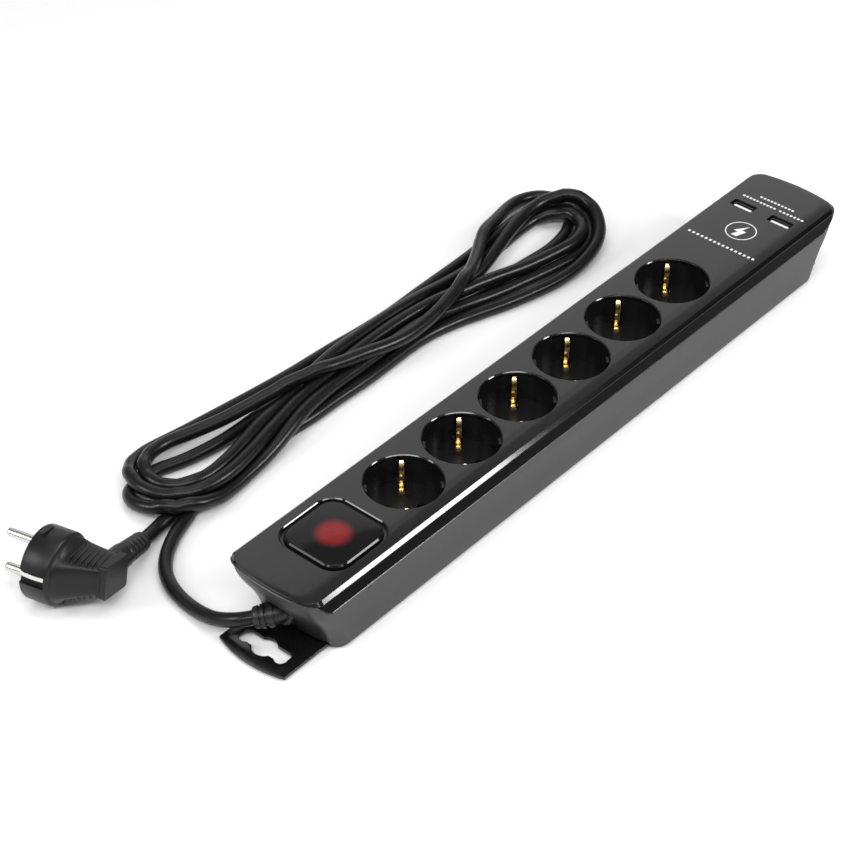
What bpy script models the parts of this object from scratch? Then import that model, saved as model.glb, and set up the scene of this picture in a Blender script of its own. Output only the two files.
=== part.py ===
"""A six-way power strip with a push button, two USB ports and a hank of mains lead.

Frame: origin at the middle of the strip's underside, +X towards the USB end,
+Z up. The lead, its hank and the plug lie on the +Y side, at the height of the
underside.
"""

import math

import bmesh
import bpy
from mathutils import Matrix, Vector

MM = 0.001
GAP = 0.3 * MM

# Housing and cover
LENGTH = 440 * MM
WIDTH = 57 * MM
HEIGHT = 41 * MM
WALL = 2 * MM
PARTING_Z = 30 * MM
LIP_Z = 39.3 * MM
PARTING_RISE_X = 204 * MM
PARTING_TOP_X = 216 * MM
END_RADIUS = 100 * MM
CORNER_RADIUS = 6 * MM
BASE_FILLET = 3 * MM
BASE_TAPER = 0.5 * MM
EDGE_FACET = 2 * MM
COVER_END_FACET = 0.8 * MM
COVER_SKIRT_Z = 28 * MM
# Half-length of the lower shell against height: the ends curve in below the lip.
END_PROFILE = (
    (3 * MM, 203 * MM),
    (11 * MM, 206.3 * MM),
    (19 * MM, 210.5 * MM),
    (26 * MM, 215 * MM),
    (33 * MM, 218 * MM),
    (39.5 * MM, 219.6 * MM),
)

# Sockets
SOCKETS = 6
PITCH = 44 * MM
ROW_X = -11.6 * MM
WELL_RADIUS = 20 * MM
WELL_DEPTH = 17.5 * MM
WELL_WALL = 1.6 * MM
WELL_FLOOR = 2 * MM
PIN_OFFSET = 9.5 * MM
PIN_HOLE_RADIUS = 3 * MM
SOCKET_TURN = math.radians(45)
CLIP_WIDTH = 2.8 * MM
CLIP_THICKNESS = 0.8 * MM
# Half of an earth clip, from the middle of its foot to the tip of its arm: (radius, height).
CLIP_ARM = (
    (18.2, 20.3),
    (18.9, 21.2),
    (18.8, 25.0),
    (17.2, 28.2),
    (18.3, 31.4),
    (16.4, 35.0),
    (17.4, 37.8),
    (18.6, 38.8),
)

# Contact rails, which run under the wells
RAIL_THICKNESS = 0.8 * MM
RAIL_Y = 10.6 * MM
RAIL_ENDS = (-150 * MM, 122 * MM)
RAIL_LOW = 5.5 * MM
RAIL_HIGH = 12.5 * MM
LEAF_Y = 3.8 * MM
LEAF_HALF = 2.8 * MM
LEAF_TOP = 17.8 * MM
EARTH_RAIL_ENDS = (-146 * MM, 118 * MM)
EARTH_RAIL_Z = 18.4 * MM

# Push button
BUTTON_X = -172.3 * MM
OPENING = (43 * MM, 42 * MM)
OPENING_RADIUS = 10.5 * MM
PAD = (39 * MM, 38.6 * MM)
PAD_RADIUS = 9 * MM
PAD_TOP = 41.4 * MM
PAD_SKIRT_Z = 33 * MM
PAD_WALL = 1.6 * MM
GUIDE_FOOT = 29 * MM
LENS_RADIUS = 8 * MM
LENS_LOW = 37.9 * MM
LENS_HIGH = 39.2 * MM
PLUNGER_X = 12.5 * MM
PLUNGER_RADIUS = 2.3 * MM
PLUNGER_LOW = 16 * MM
PLUNGER_HIGH = 39.4 * MM
SWITCH_LOW = 5.5 * MM
SWITCH_TOP = 20.5 * MM
SWITCH_HALF_WIDTH = 10 * MM
SPRING_TURNS = 4
SPRING_TOP = 38.8 * MM
SPRING_RADIUS = 3.3 * MM
SPRING_WIRE = 0.35 * MM

# USB ports
USB_X = 182.6 * MM
USB_Y = 12.4 * MM
USB_OPENING = (6.3 * MM, 14.6 * MM)
USB_SHELL = (5.7 * MM, 13.6 * MM)
USB_DEPTH = 14 * MM

# Wall brackets, which slide in and out under the two ends
BRACKET_WIDTH = 42.6 * MM
BRACKET_LENGTH = 66 * MM
BRACKET_BULGE = 3.7 * MM
BRACKET_Z = 1.2 * MM
BRACKET_THICKNESS = 1.8 * MM
BRACKET_TRAVEL = 20 * MM
BRACKET_TIP_IN = 210.8 * MM
BRACKET_CHANNEL_X = 142 * MM
BRACKET_FLOOR_TOP = 5.2 * MM

# Screws from below, in pairs between the sockets
SCREW_STATIONS = (-2 * PITCH, 0, 2 * PITCH)
SCREW_Y = 21.5 * MM

# Circuit boards on posts, and the pieces that they carry
BOARD_THICKNESS = 1.6 * MM
USB_BOARD = (162 * MM, 203 * MM)
USB_BOARD_Z = 24 * MM
SURGE_BOARD = (125 * MM, 159 * MM)
SURGE_BOARD_Z = 8 * MM
BOARD_HALF_WIDTH = 20 * MM
POST_RADIUS = 2 * MM
POST_Y = 16 * MM
VARISTORS_X = (131 * MM, 141 * MM, 151 * MM)
VARISTOR_RADIUS = 6.2 * MM
VARISTOR_THICKNESS = 4 * MM

# Clamp that holds the sheath inside the near end
CLAMP_ENDS = (-197 * MM, -191 * MM)
CLAMP_SCREW_Y = 10.5 * MM
CLAMP_SCREW_HOLE = 1.55 * MM

# Lead, hank and plug
CORD_RADIUS = 3.7 * MM
WIRE_RADIUS = 1.3 * MM
GLAND_Z = 17 * MM
GLAND_ELBOW = Vector((-211.5, 0, 17)) * MM
GLAND_EXIT_WAY = Vector((-0.69, 0.69, -0.15)).normalized()
GLAND_SLEEVE = 12 * MM
GLAND_HOLE_RADIUS = 6.95 * MM
GLAND_ELBOW_RADIUS = 6.6 * MM
LEAD_ROUTE = (
    (-225.3, 15.8, 12.9),
    (-227.4, 26.3, 8.6),
    (-226.8, 38.5, 5.1),
    (-225.2, 50.5, 3.9),
    (-222.2, 61.5, 3.9),
    (-216.8, 71.2, 3.9),
    (-208.3, 79.5, 3.9),
    (-197.2, 86.2, 3.9),
    (-188.2, 90.0, 3.9),
)
TAIL_ROUTE = (
    (-206.6, 95.2, 5.9),
    (-201.6, 96.6, 4.7),
    (-195.6, 98.2, 3.9),
)
HANK_HEIGHT = 15 * MM
HANK_OUTLINE = (
    (-187.9, 94.8),
    (-194.0, 102.0),
    (-197.5, 115.0),
    (-193.0, 130.0),
    (-180.0, 141.5),
    (-158.0, 147.0),
    (-130.0, 144.5),
    (-84.0, 139.0),
    (-32.0, 134.8),
    (19.0, 130.5),
    (45.0, 130.6),
    (67.0, 132.0),
    (92.0, 138.0),
    (120.0, 144.5),
    (145.0, 148.0),
    (160.0, 142.5),
    (167.5, 128.0),
    (166.0, 108.0),
    (158.0, 90.0),
    (143.0, 77.5),
    (122.0, 72.6),
    (98.0, 73.6),
    (68.0, 80.5),
    (46.0, 88.5),
    (12.0, 97.4),
    (-18.0, 96.8),
    (-61.0, 96.0),
    (-112.0, 94.0),
    (-140.0, 90.0),
    (-165.0, 87.5),
    (-184.9, 86.2),
)
HANK_FLOOR_GAP = 0.2 * MM
PLUG_ORIGIN = Vector((-261.1, 111.0, 19.0)) * MM
PLUG_YAW = math.radians(14)
PLUG_ROLL = math.radians(15)
PLUG_RADIUS = 19 * MM
PLUG_FRONT_DEPTH = 16 * MM
# The grip behind the round front: (depth, middle, half width, half thickness).
PLUG_GRIP = (
    (14, 0, 17.5, 17.5),
    (20, 1.5, 15.5, 14),
    (27, 5, 13, 9.5),
    (35, 8.5, 10, 7),
)
PLUG_END_PLATE = ((-1.5, -38, -9), (18.5, -34, 9))
PLUG_NECK_DEPTH = 28.6 * MM
PLUG_NECK_RADIUS = 6.4 * MM
BOOT_START = 28.9 * MM
BOOT_END = 47 * MM
PLUG_PIN_RADIUS = 2.4 * MM
PLUG_PIN_LENGTH = 19 * MM


# Scene helpers


def clear_scene():
    for obj in list(bpy.data.objects):
        bpy.data.objects.remove(obj)


def new_collection(name):
    collection = bpy.data.collections.new(name)
    bpy.context.scene.collection.children.link(collection)
    return collection


def new_material(name, colour, roughness, metallic=0.0):
    made = bpy.data.materials.new(name)
    made.use_nodes = True
    shader = made.node_tree.nodes["Principled BSDF"]
    shader.inputs["Base Color"].default_value = (*colour, 1)
    shader.inputs["Roughness"].default_value = roughness
    shader.inputs["Metallic"].default_value = metallic
    return made


def move_to(obj, collection):
    for holder in list(obj.users_collection):
        holder.objects.unlink(obj)
    collection.objects.link(obj)


def finish(obj, name, material, parent=None):
    """Names a piece and gives it its material."""
    obj.name = name
    obj.data.name = name
    obj.data.materials.clear()
    obj.data.materials.append(material)
    move_to(obj, PARTS)
    obj.parent = parent
    if obj.type == "MESH":
        obj.data.shade_smooth()
        obj.data.set_sharp_from_angle(angle=math.radians(35))
    return obj


def as_cutter(obj):
    obj.hide_render = True
    obj.display_type = "WIRE"
    move_to(obj, CUTTERS)
    return obj


def combine(obj, other, operation):
    modifier = obj.modifiers.new(operation.lower(), "BOOLEAN")
    modifier.operation = operation
    modifier.solver = "EXACT"
    modifier.object = as_cutter(other)


def cut(obj, *others):
    for other in others:
        combine(obj, other, "DIFFERENCE")


def join(obj, *others):
    for other in others:
        combine(obj, other, "UNION")


# Shapes


def box(low, high):
    """A box between two corners, with its origin at its middle."""
    low = Vector(low)
    high = Vector(high)
    bpy.ops.mesh.primitive_cube_add(size=1, location=(low + high) / 2)
    obj = bpy.context.object
    obj.data.transform(Matrix.Diagonal((*(high - low), 1)))
    return obj


def cylinder(radius, start, end, vertices=24):
    """A cylinder between two points."""
    start = Vector(start)
    way = Vector(end) - start
    bpy.ops.mesh.primitive_cylinder_add(vertices=vertices, radius=radius, depth=way.length)
    obj = bpy.context.object
    turn = way.to_track_quat("Z", "Y").to_matrix().to_4x4()
    obj.matrix_world = Matrix.Translation(start + way / 2) @ turn
    return obj


def mesh_object(mesh):
    obj = bpy.data.objects.new(mesh.name, mesh)
    PARTS.objects.link(obj)
    return obj


def turned(profile, steps=24, matrix=None):
    """A profile of (radius, height) points turned about Z, from top to bottom."""
    mesh = bpy.data.meshes.new("profile")
    points = [(radius, 0, height) for radius, height in profile]
    edges = [(i, i + 1) for i in range(len(points) - 1)]
    mesh.from_pydata(points, edges, [])
    obj = mesh_object(mesh)
    screw = obj.modifiers.new("screw", "SCREW")
    screw.steps = steps
    screw.render_steps = steps
    screw.use_merge_vertices = True
    screw.merge_threshold = 0.00001
    if matrix is not None:
        obj.matrix_world = matrix
    return obj


def in_mm(points):
    return [tuple(value * MM for value in point) for point in points]


def prism(outline, low, high, matrix=None):
    """A flat outline of (x, y) points as a solid from height low to high."""
    curve = bpy.data.curves.new("outline", "CURVE")
    curve.dimensions = "2D"
    curve.fill_mode = "BOTH"
    curve.extrude = (high - low) / 2
    spline = curve.splines.new("POLY")
    spline.points.add(len(outline) - 1)
    for point, (x, y) in zip(spline.points, outline):
        point.co = (x, y, 0, 1)
    spline.use_cyclic_u = True
    obj = bpy.data.objects.new("outline", curve)
    PARTS.objects.link(obj)
    obj.matrix_world = (matrix or Matrix()) @ Matrix.Translation((0, 0, (low + high) / 2))
    return to_mesh(obj)


def to_mesh(obj):
    """The evaluated shape of a curve as a mesh object, with its caps welded on."""
    bpy.context.view_layer.update()
    graph = bpy.context.evaluated_depsgraph_get()
    mesh = bpy.data.meshes.new_from_object(obj.evaluated_get(graph))
    shape = bmesh.new()
    shape.from_mesh(mesh)
    bmesh.ops.remove_doubles(shape, verts=shape.verts, dist=0.000001)
    bmesh.ops.recalc_face_normals(shape, faces=shape.faces)
    shape.to_mesh(mesh)
    shape.free()
    made = mesh_object(mesh)
    made.matrix_world = obj.matrix_world
    bpy.data.objects.remove(obj)
    return made


def tube(points, radius, resolution=2):
    """A round wire or cord along points."""
    curve = bpy.data.curves.new("route", "CURVE")
    curve.dimensions = "3D"
    curve.bevel_depth = radius
    curve.bevel_resolution = resolution
    curve.use_fill_caps = True
    spline = curve.splines.new("POLY")
    spline.points.add(len(points) - 1)
    for point, place in zip(spline.points, points):
        point.co = (*place, 1)
    obj = bpy.data.objects.new("route", curve)
    PARTS.objects.link(obj)
    return obj


def smooth(points, steps, closed=False):
    """A Catmull-Rom curve through the points, with steps pieces between each two."""
    places = [Vector(point) for point in points]
    count = len(places)
    if closed:
        around = places[-1:] + places + places[:2]
    else:
        around = places[:1] + places + places[-1:]
    made = []
    for i in range(count if closed else count - 1):
        a, b, c, d = around[i:i + 4]
        for step in range(steps):
            t = step / steps
            made.append(
                (2 * b + (c - a) * t + (2 * a - 5 * b + 4 * c - d) * t**2
                 + (3 * b - a - 3 * c + d) * t**3) / 2
            )
    if not closed:
        made.append(places[-1])
    return made


def rounded_rectangle(size, radius, steps=5):
    """Outline of a rectangle with round corners, about the origin."""
    outline = []
    half_x, half_y = size[0] / 2 - radius, size[1] / 2 - radius
    for corner, (sx, sy) in enumerate(((1, 1), (-1, 1), (-1, -1), (1, -1))):
        for step in range(steps + 1):
            angle = math.radians(90) * (corner + step / steps)
            outline.append(
                (sx * half_x + radius * math.cos(angle), sy * half_y + radius * math.sin(angle))
            )
    return outline


def end_inset(y, half_width):
    """How far an end stands back at y: a shallow arc, and rounded corners."""
    straight = half_width - CORNER_RADIUS
    inset = y**2 / (2 * END_RADIUS)
    if abs(y) > straight:
        over = min(abs(y) - straight, CORNER_RADIUS)
        inset += CORNER_RADIUS - math.sqrt(CORNER_RADIUS**2 - over**2)
    return inset


def strip_outline(half_length, half_width):
    """Plan of the strip at one height."""
    straight = half_width - CORNER_RADIUS
    angles = (30, 60, 90)
    corner = [straight + CORNER_RADIUS * math.sin(math.radians(angle)) for angle in angles]
    up = [0, straight / 2, straight] + corner
    across = [-y for y in reversed(up[1:])] + up
    end = [(half_length - end_inset(y, half_width), y) for y in across]
    return end + [(-x, -y) for x, y in end]


def loft(rings, closed_end=-1):
    """Skin through rings of points, closed at the first (0) or the last (-1) ring."""
    shape = bmesh.new()
    rows = [[shape.verts.new(point) for point in ring] for ring in rings]
    for low, high in zip(rows, rows[1:]):
        for i in range(len(low)):
            j = (i + 1) % len(low)
            shape.faces.new((low[i], low[j], high[j], high[i]))
    if closed_end == 0:
        shape.faces.new(list(reversed(rows[0])))
    else:
        shape.faces.new(rows[-1])
    mesh = bpy.data.meshes.new("loft")
    shape.to_mesh(mesh)
    shape.free()
    return mesh_object(mesh)


def thicken(obj, thickness):
    modifier = obj.modifiers.new("wall", "SOLIDIFY")
    modifier.thickness = thickness
    modifier.offset = -1
    modifier.use_even_offset = True


def socket_places():
    middle = (SOCKETS - 1) / 2
    return [(ROW_X + (i - middle) * PITCH, 0) for i in range(SOCKETS)]


# Housing and cover


def parting_line(offset):
    """Side view of the seam: level, then rising to the lip at each end."""
    steps = 6
    half = []
    for step in range(steps + 1):
        t = step / steps
        rise = t * t * (3 - 2 * t)
        x = PARTING_RISE_X + (PARTING_TOP_X - PARTING_RISE_X) * t
        half.append((x, PARTING_Z + (LIP_Z - PARTING_Z) * rise + offset))
    half.append((LENGTH, LIP_Z + offset))
    return [(-x, z) for x, z in reversed(half)] + half


def side_prism(outline):
    """An outline in the XZ plane as a solid across the whole strip."""
    upright = Matrix.Rotation(math.radians(90), 4, "X")
    return prism(outline, -WIDTH, WIDTH, upright)


def housing_shell():
    rings = []
    for angle in (0, 45):
        turn = math.radians(angle)
        inset = BASE_FILLET * (1 - math.sin(turn))
        height = BASE_FILLET * (1 - math.cos(turn))
        half_width = WIDTH / 2 - BASE_TAPER - inset
        outline = strip_outline(END_PROFILE[0][1] - inset, half_width)
        rings.append([(x, y, height) for x, y in outline])
    for height, half_length in END_PROFILE:
        half_width = WIDTH / 2 - BASE_TAPER * max(0, 1 - height / PARTING_Z)
        outline = strip_outline(half_length, half_width)
        rings.append([(x, y, height) for x, y in outline])
    shell = loft(rings, closed_end=0)
    thicken(shell, WALL)
    return shell


def make_housing():
    housing = housing_shell()
    join(housing, *[bracket_channel_floor(side) for side in (-1, 1)])
    join(housing, *screw_posts(), *cross_ribs(), *clamp_seat())
    join(housing, *board_posts(SURGE_BOARD, WALL / 2, SURGE_BOARD_Z - GAP))
    join(housing, *board_posts(USB_BOARD, BRACKET_FLOOR_TOP - 1 * MM, USB_BOARD_Z - GAP))
    for x, y in screw_places():
        cut(housing, cylinder(3.3 * MM, (x, y, -1 * MM), (x, y, 2.9 * MM), 16))
        cut(housing, cylinder(1.8 * MM, (x, y, 1 * MM), (x, y, 13 * MM), 12))
    for side in (-1, 1):
        x, y = clamp_screw_place(side)
        cut(housing, cylinder(CLAMP_SCREW_HOLE, (x, y, 14 * MM), (x, y, 22 * MM), 12))
        cut(housing, bracket_channel(side))
    hole_start, hole_end = (-216 * MM, 0, GLAND_Z), (-203 * MM, 0, GLAND_Z)
    cut(housing, cylinder(GLAND_HOLE_RADIUS, hole_start, hole_end, 24))
    seam = parting_line(-GAP / 2)
    cut(housing, side_prism(seam + [(LENGTH, 2 * HEIGHT), (-LENGTH, 2 * HEIGHT)]))
    finish(housing, "bottom_housing", SATIN_BLACK)


def screw_posts():
    return [
        cylinder(4.2 * MM, (x, y, WALL / 2), (x, y, 11.7 * MM), 16) for x, y in screw_places()
    ]


def cross_ribs():
    """Low ribs across the floor, one between each two sockets."""
    half_thickness, half_width, top = 0.8 * MM, 13 * MM, 5.2 * MM
    made = []
    for x, _ in socket_places()[:-1]:
        middle = x + PITCH / 2
        low = (middle - half_thickness, -half_width, WALL / 2)
        made.append(box(low, (middle + half_thickness, half_width, top)))
    return made


def clamp_seat():
    """A cradle under the sheath, and the two bosses that take the clamp's screws."""
    start, end = CLAMP_ENDS
    seat = [box((start, -13 * MM, 4 * MM), (end, 13 * MM, 13 * MM))]
    for side in (-1, 1):
        y = side * CLAMP_SCREW_Y
        seat.append(box((start, y - 2.6 * MM, 12 * MM), (end, y + 2.6 * MM, 20.7 * MM)))
    return seat


def clamp_screw_place(side):
    return (CLAMP_ENDS[0] + CLAMP_ENDS[1]) / 2, side * CLAMP_SCREW_Y


def board_posts(ends, low, high):
    """Four posts under a board, near its corners."""
    inset = 5 * MM
    return [
        cylinder(POST_RADIUS, (x, side * POST_Y, low), (x, side * POST_Y, high), 12)
        for x in (ends[0] + inset, ends[1] - inset)
        for side in (-1, 1)
    ]


def bracket_channel_floor(side):
    low, high = BRACKET_CHANNEL_X - 2 * MM, END_PROFILE[0][1] - 2 * MM
    xs = sorted((side * low, side * high))
    half_width = BRACKET_WIDTH / 2 + 2 * MM
    return box((xs[0], -half_width, WALL / 2), (xs[1], half_width, BRACKET_FLOOR_TOP))


def bracket_channel(side):
    xs = sorted((side * BRACKET_CHANNEL_X, side * LENGTH / 2))
    half_width = BRACKET_WIDTH / 2 + GAP
    low = BRACKET_Z - GAP
    high = BRACKET_Z + BRACKET_THICKNESS + GAP
    return box((xs[0], -half_width, low), (xs[1], half_width, high))


def screw_places():
    return [(ROW_X + x, side * SCREW_Y) for x in SCREW_STATIONS for side in (-1, 1)]


def make_cover():
    half_width = WIDTH / 2
    top_width = half_width - EDGE_FACET
    rings = []
    for half_length, width, height in (
        (LENGTH / 2, half_width, COVER_SKIRT_Z),
        (LENGTH / 2, half_width, HEIGHT - EDGE_FACET),
        (LENGTH / 2 - COVER_END_FACET, top_width, HEIGHT),
    ):
        outline = strip_outline(half_length, width)
        rings.append([(x, y, height) for x, y in outline])
    cover = loft(rings)
    thicken(cover, WALL)
    below, above = HEIGHT - 5 * MM, HEIGHT + 3 * MM
    for x, y in screw_places():
        join(cover, cylinder(3 * MM, (x, y, 12 * MM), (x, y, HEIGHT - WALL / 2), 12))
        cut(cover, cylinder(1.75 * MM, (x, y, 10 * MM), (x, y, 30 * MM), 12))
    for x, y in socket_places():
        cut(cover, cylinder(WELL_RADIUS, (x, y, below), (x, y, above), 36))
    opening = rounded_rectangle(OPENING, OPENING_RADIUS)
    cut(cover, prism(opening, below, above, Matrix.Translation((BUTTON_X, 0, 0))))
    for side in (-1, 1):
        opening = rounded_rectangle(USB_OPENING, 0.8 * MM, 3)
        place = Matrix.Translation((USB_X, side * USB_Y, 0))
        cut(cover, prism(opening, below, above, place))
    seam = parting_line(GAP / 2)
    cut(cover, side_prism([(-LENGTH, 0), (LENGTH, 0)] + list(reversed(seam))))
    finish(cover, "top_cover", GLOSS_BLACK)


def make_housing_screws():
    profile = ((0, 24), (1.45, 21.5), (1.45, 2.3), (3, 2.3), (3, 0.9), (2.4, 0.4), (0, 0.4))
    for index, (x, y) in enumerate(screw_places()):
        screw = turned(in_mm(profile), 12, Matrix.Translation((x, y, 0)))
        finish(screw, f"housing_screw_{index + 1}", STEEL)


# Sockets


def on_diagonal(x, distance, height, turn=SOCKET_TURN):
    return Vector((x + distance * math.cos(turn), distance * math.sin(turn), height))


def make_socket_well(index, x):
    floor = HEIGHT - WELL_DEPTH
    inner = WELL_RADIUS + 0.1 * MM
    outer = inner + WELL_WALL
    top = HEIGHT - WALL - GAP
    underside = floor - WELL_FLOOR
    profile = (
        (0, floor),
        (inner, floor),
        (inner, top),
        (outer, top),
        (outer, underside),
        (0, underside),
    )
    well = turned(profile, 36, Matrix.Translation((x, 0, 0)))
    across = SOCKET_TURN - math.radians(90)
    for side in (-1, 1):
        hole = on_diagonal(x, side * PIN_OFFSET, floor, across)
        down = Vector((0, 0, 6 * MM))
        cut(well, cylinder(PIN_HOLE_RADIUS, hole - down, hole + down, 12))
        guide = box((-1.7 * MM, -2.5 * MM, floor - 1 * MM), (0.6 * MM, 2.5 * MM, top - 2 * MM))
        rib_place = Matrix.Translation(on_diagonal(x, side * inner, 0, across))
        guide.matrix_world = rib_place @ turn_about_z(across, side) @ guide.matrix_world
        join(well, guide)
        slot = box((-1.1 * MM, -2.6 * MM, floor - 6 * MM), (1.1 * MM, 2.6 * MM, floor + 3 * MM))
        slot_place = Matrix.Translation(on_diagonal(x, side * 18.7 * MM, 0))
        slot.matrix_world = slot_place @ turn_about_z(SOCKET_TURN, side) @ slot.matrix_world
        cut(well, slot)
    finish(well, f"socket_well_{index + 1}", GLOSS_BLACK)


def turn_about_z(turn, side):
    return Matrix.Rotation(turn + (math.pi if side < 0 else 0), 4, "Z")


def strip_along(points, thickness):
    """Outline of a bent strip: points along its middle, offset to both sides."""
    sides = ([], [])
    for i, point in enumerate(points):
        before = points[max(i - 1, 0)]
        after = points[min(i + 1, len(points) - 1)]
        way = (after - before).normalized()
        normal = Vector((-way.y, way.x))
        for side, sign in zip(sides, (1, -1)):
            side.append(point + sign * normal * thickness / 2)
    return [tuple(point) for point in sides[0] + list(reversed(sides[1]))]


def make_earth_clip(index, x):
    """One bent strip: a foot under the well and two sprung arms inside it."""
    arm = [Vector(point) for point in in_mm(CLIP_ARM)]
    points = [Vector((-p.x, p.y)) for p in reversed(arm)] + arm
    upright = Matrix.Rotation(math.radians(90), 4, "X")
    place = Matrix.Translation((x, 0, 0)) @ Matrix.Rotation(SOCKET_TURN, 4, "Z") @ upright
    clip = prism(strip_along(points, CLIP_THICKNESS), -CLIP_WIDTH / 2, CLIP_WIDTH / 2, place)
    finish(clip, f"earth_clip_{index + 1}", BRASS)


def make_earth_rail():
    low = (EARTH_RAIL_ENDS[0], -3 * MM, EARTH_RAIL_Z)
    high = (EARTH_RAIL_ENDS[1], 3 * MM, EARTH_RAIL_Z + RAIL_THICKNESS)
    finish(box(low, high), "earth_rail", BRASS)


def upright_sheet(x_ends, y, side, z_ends, thickness=RAIL_THICKNESS):
    """A thin upright sheet whose inner face is at y, on the side given."""
    ys = sorted((side * y, side * (y + thickness)))
    return box((x_ends[0], ys[0], z_ends[0]), (x_ends[1], ys[1], z_ends[1]))


def make_contact_rail(name, side):
    """A rail along one side, with a pair of leaves around each pin."""
    rail = upright_sheet(RAIL_ENDS, RAIL_Y, side, (RAIL_LOW, RAIL_HIGH))
    pin = PIN_OFFSET * math.cos(SOCKET_TURN)
    overlap = 0.1 * MM
    for x, _ in socket_places():
        middle = x - side * pin
        foot_ends = (middle - PIN_HOLE_RADIUS, middle + PIN_HOLE_RADIUS)
        leaf_ends = (middle - LEAF_HALF, middle + LEAF_HALF)
        foot_z = (RAIL_LOW + overlap, RAIL_LOW + overlap + RAIL_THICKNESS)
        foot = upright_sheet(foot_ends, LEAF_Y, side, foot_z, RAIL_Y - LEAF_Y + RAIL_THICKNESS - overlap)
        leaf = upright_sheet(leaf_ends, LEAF_Y, side, (foot_z[0] + 0.3 * MM, LEAF_TOP))
        back_z = (RAIL_HIGH - 3.5 * MM, LEAF_TOP)
        back = upright_sheet(leaf_ends, RAIL_Y + overlap, side, back_z, RAIL_THICKNESS - 2.5 * overlap)
        join(rail, foot, leaf, back)
    finish(rail, name, BRASS)


# Push button and switch


def make_button_guide():
    """A frame under the opening, in which the button slides."""
    top = HEIGHT - WALL - GAP
    place = Matrix.Translation((BUTTON_X, 0, 0))
    margin = 4 * MM
    outer_size = (OPENING[0] + margin, OPENING[1] + margin)
    outer = rounded_rectangle(outer_size, OPENING_RADIUS + margin / 2)
    guide = prism(outer, GUIDE_FOOT, top, place)
    room = 0.7 * MM
    inner = rounded_rectangle((PAD[0] + room, PAD[1] + room), PAD_RADIUS + room / 2)
    cut(guide, prism(inner, GUIDE_FOOT - 4 * MM, HEIGHT + 4 * MM, place))
    finish(guide, "button_guide", SATIN_BLACK)


def button_frame():
    """An empty at the button's axis, which carries the pieces that move with it."""
    frame = bpy.data.objects.new("button_axis", None)
    PARTS.objects.link(frame)
    frame.location = (BUTTON_X, 0, 0)
    return frame


def make_button(frame):
    rings = []
    for inset, height in (
        (0, PAD_SKIRT_Z),
        (0, PAD_TOP - 1.5 * MM),
        (0.4 * MM, PAD_TOP - 0.7 * MM),
        (1.2 * MM, PAD_TOP - 0.25 * MM),
        (5 * MM, PAD_TOP),
    ):
        size = (PAD[0] - 2 * inset, PAD[1] - 2 * inset)
        outline = rounded_rectangle(size, PAD_RADIUS - inset * 0.8)
        rings.append([(x, y, height) for x, y in outline])
    cap = loft(rings)
    thicken(cap, PAD_WALL)
    finish(cap, "button_cap", SMOKED_BLACK, frame)
    lens = cylinder(LENS_RADIUS, (0, 0, LENS_LOW), (0, 0, LENS_HIGH), 32)
    finish(lens, "button_lens", RED_LENS, frame)
    foot, head = (PLUNGER_X, 0, PLUNGER_LOW), (PLUNGER_X, 0, PLUNGER_HIGH)
    plunger = cylinder(PLUNGER_RADIUS, foot, head, 16)
    finish(plunger, "switch_plunger", WHITE_PLASTIC, frame)


def make_switch_body():
    low = (BUTTON_X - 9.5 * MM, -SWITCH_HALF_WIDTH, SWITCH_LOW)
    high = (BUTTON_X + 16.6 * MM, SWITCH_HALF_WIDTH, SWITCH_TOP)
    body = box(low, high)
    x = BUTTON_X + PLUNGER_X
    bore = PLUNGER_RADIUS + 0.4 * MM
    cut(body, cylinder(bore, (x, 0, PLUNGER_LOW - 4 * MM), (x, 0, SWITCH_TOP + 3 * MM), 16))
    finish(body, "switch_body", GREY_PLASTIC)


def make_button_spring():
    per_turn = 10
    bottom = SWITCH_TOP + 0.8 * MM
    count = SPRING_TURNS * per_turn
    points = []
    for i in range(count + 1):
        angle = 2 * math.pi * i / per_turn
        height = bottom + (SPRING_TOP - bottom) * i / count
        x = BUTTON_X + PLUNGER_X + SPRING_RADIUS * math.cos(angle)
        points.append((x, SPRING_RADIUS * math.sin(angle), height))
    finish(tube(points, SPRING_WIRE, 1), "button_spring", STEEL)


def make_indicator_lamp():
    profile = ((0, 34), (1.6, 33.4), (2.4, 31.8), (2.5, 24), (2.9, 24), (2.9, 20.9), (0, 20.9))
    lamp = turned(in_mm(profile), 16, Matrix.Translation((BUTTON_X, 0, 0)))
    finish(lamp, "indicator_lamp", RED_LENS)


# USB and surge protection


def make_usb_port(index, side):
    place = Matrix.Translation((USB_X, side * USB_Y, 0))
    top = HEIGHT - 0.6 * MM
    shell = prism(rounded_rectangle(USB_SHELL, 0.7 * MM, 2), top - USB_DEPTH, top, place)
    inside = (USB_SHELL[0] - 0.7 * MM, USB_SHELL[1] - 0.7 * MM)
    hollow = rounded_rectangle(inside, 0.4 * MM, 2)
    cut(shell, prism(hollow, top - USB_DEPTH + 1 * MM, top + 9 * MM, place))
    finish(shell, f"usb_port_{index}", NICKEL)
    low = (USB_X - 2.1 * MM, side * USB_Y - 5.6 * MM, top - USB_DEPTH + 1.3 * MM)
    high = (USB_X - 0.3 * MM, side * USB_Y + 5.6 * MM, top - 0.8 * MM)
    finish(box(low, high), f"usb_tongue_{index}", WHITE_PLASTIC)


def make_usb_supply():
    finish(board(USB_BOARD, USB_BOARD_Z), "usb_board", BOARD_GREEN)
    under = USB_BOARD_Z - GAP
    core = box((168 * MM, -14 * MM, 12.7 * MM), (181 * MM, -1 * MM, under))
    finish(core, "usb_transformer", FERRITE)
    can = cylinder(4 * MM, (188 * MM, 7 * MM, 10 * MM), (188 * MM, 7 * MM, under))
    finish(can, "usb_capacitor", GREY_PLASTIC)


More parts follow.
